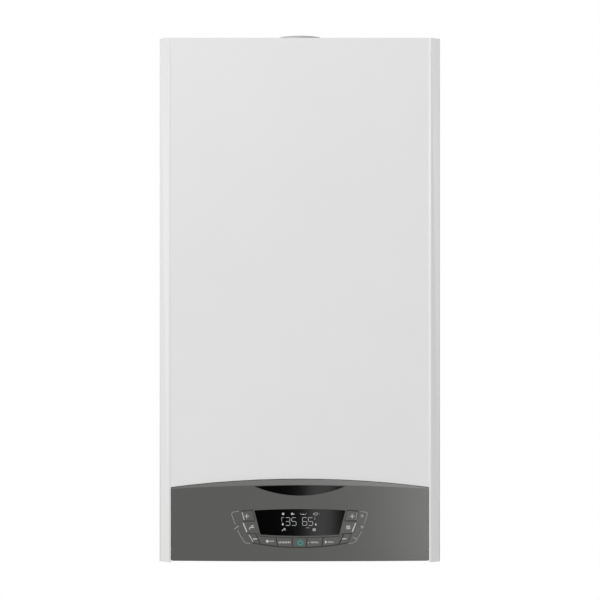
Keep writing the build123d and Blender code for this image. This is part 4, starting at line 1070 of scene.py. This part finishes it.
def tickTree():
    # short bars round an arc, with some of them longer
    tree = Tree("dialTicks", "Count", "Radius", "Sweep", "Length", "Width", "Thickness")
    given = tree.given
    line = tree.add("GeometryNodeMeshLine", {"Count": given["Count"], "Offset": (0, 0, 0)}).outputs[0]
    index = tree.add("GeometryNodeInputIndex").outputs[0]
    gaps = tree.math("SUBTRACT", given["Count"], 1.0)
    angle = tree.math("DIVIDE", tree.math("MULTIPLY", index, given["Sweep"]), gaps)
    spot = tree.add("ShaderNodeCombineXYZ", {
        "X": tree.math("MULTIPLY", tree.math("MULTIPLY", tree.math("SINE", angle), given["Radius"]), -1.0),
        "Y": tree.math("MULTIPLY", tree.math("COSINE", angle), given["Radius"]),
    })
    ring = tree.add("GeometryNodeSetPosition", {"Geometry": line, "Position": spot.outputs[0]}).outputs[0]
    longer = tree.math("COMPARE", tree.math("MODULO", index, gauge["longEvery"]), 0.0, 0.1)
    extra = tree.math("MULTIPLY", longer, gauge["longExtra"])
    stretch = tree.add("ShaderNodeCombineXYZ", {"X": 1.0, "Y": tree.math("ADD", 1.0, extra), "Z": 1.0})
    size = tree.add("ShaderNodeCombineXYZ", {
        "X": given["Width"], "Y": given["Length"], "Z": given["Thickness"],
    })
    bar = tree.add("GeometryNodeMeshCube", {"Size": size.outputs[0]}).outputs[0]
    turn = tree.add("ShaderNodeCombineXYZ", {"Z": angle})
    placed = tree.add("GeometryNodeInstanceOnPoints", {
        "Points": ring, "Instance": bar, "Rotation": turn.outputs[0], "Scale": stretch.outputs[0],
    })
    return tree.close(placed.outputs[0])


tickWidth, tickLength, tickThickness = gauge["tickSize"]
ticks = grownPiece("gaugeTicks", tickTree(), "darkPrintAndShade", {
    "Count": gauge["ticks"], "Radius": gauge["tickRadius"] * mm, "Sweep": math.radians(gauge["sweep"]),
    "Length": tickLength * mm, "Width": tickWidth * mm, "Thickness": tickThickness * mm,
})
tickPlace = (*gauge["centre"], gauge["face"] - gauge["tickDrop"])
ticks.data.transform(Matrix.Translation(inMetres([tickPlace])[0]))
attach(ticks, "chassis")

numbers = []
for number in range(5):
    text = bpy.data.curves.new(f"number{number}", "FONT")
    text.body = str(number)
    text.size = gauge["numberSize"] * mm
    text.align_x = text.align_y = "CENTER"
    text.extrude = gauge["numberThick"] * mm
    holder = newObject(text.name, text)
    mesh = plainMesh(holder)
    angle = gauge["zeroAngle"] + gauge["sweep"] * number / 4
    spot = dialSpot(angle, gauge["numberRadius"], gauge["face"] - gauge["numberDrop"])
    mesh.transform(Matrix.Translation(spot) @ Matrix.Rotation(math.pi, 4, "X"))
    mesh.materials.clear()
    mesh.materials.append(surface("darkPrintAndShade"))
    bpy.data.objects.remove(holder)
    numbers.append(newObject(f"number{number}", mesh))
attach(joined("gaugeNumbers", numbers), "chassis")


def ringPiece(name, profile, sides=64):
    # turns a closed profile of (radius, height) round the dial's axis
    x, y = gauge["centre"]
    verts, faces = [], []
    for i in range(sides):
        angle = 2 * math.pi * i / sides
        verts += inMetres([(x + r * math.cos(angle), y + r * math.sin(angle), z) for r, z in profile])
    count = len(profile)
    for i in range(sides):
        here, there = i * count, (i + 1) % sides * count
        for k in range(count):
            after = (k + 1) % count
            faces.append([here + k, there + k, there + after, here + after])
    piece = meshPiece(name, verts, faces, "blackPlastic")
    smoothShade(piece.data)
    return piece


outer, inner = gauge["bezelRadius"], gauge["bezelRadius"] - gauge["bezelWidth"]
low, dial = gauge["bezelLow"], gauge["face"]
bezel = ringPiece("gaugeBezel", [
    (outer, dial + 1.5), (outer + 0.5, dial + 1.5), (outer + 0.5, low + 0.6), (outer - 0.1, low),
    (inner + 0.4, low), (inner, low + 0.5), (inner, dial), (outer, dial),
])
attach(bezel, "chassis")
boss = ringPiece("gaugeBoss", [(0.0001, 2.2), (2.2, 2.2), (2.6, 2.65), (0.0001, 2.65)], 32)
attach(boss, "gauge_needle")
print("the gauge has its scale")

# floor

floorSpec = {
    "height": -1.55,
    "half": 3.6,
    "color": (0.82, 0.82, 0.82),
    "rough": 0.9,
    "glow": 0.55,       # as seen; it gives the object no light
}
half = floorSpec["half"]
corners = [(x * half, y * half, floorSpec["height"]) for x, y in ((-1, -1), (1, -1), (1, 1), (-1, 1))]
floor = meshPiece("floor", corners, [[0, 1, 2, 3]], "whitePrint")
floorMaterial = bpy.data.materials.new("paleFloor")
floorMaterial.use_nodes = True
floorTree = floorMaterial.node_tree
floorShader = floorTree.nodes["Principled BSDF"]
floorShader.inputs["Base Color"].default_value = (*floorSpec["color"], 1)
floorShader.inputs["Roughness"].default_value = floorSpec["rough"]
floorShader.inputs["Emission Color"].default_value = (1, 1, 1, 1)
glow = addNode(floorTree, "ShaderNodeMath", {
    0: seenDirectly(floorTree), 1: floorSpec["glow"],
}, operation="MULTIPLY")
floorTree.links.new(glow.outputs[0], floorShader.inputs["Emission Strength"])
floor.data.materials.clear()
floor.data.materials.append(floorMaterial)
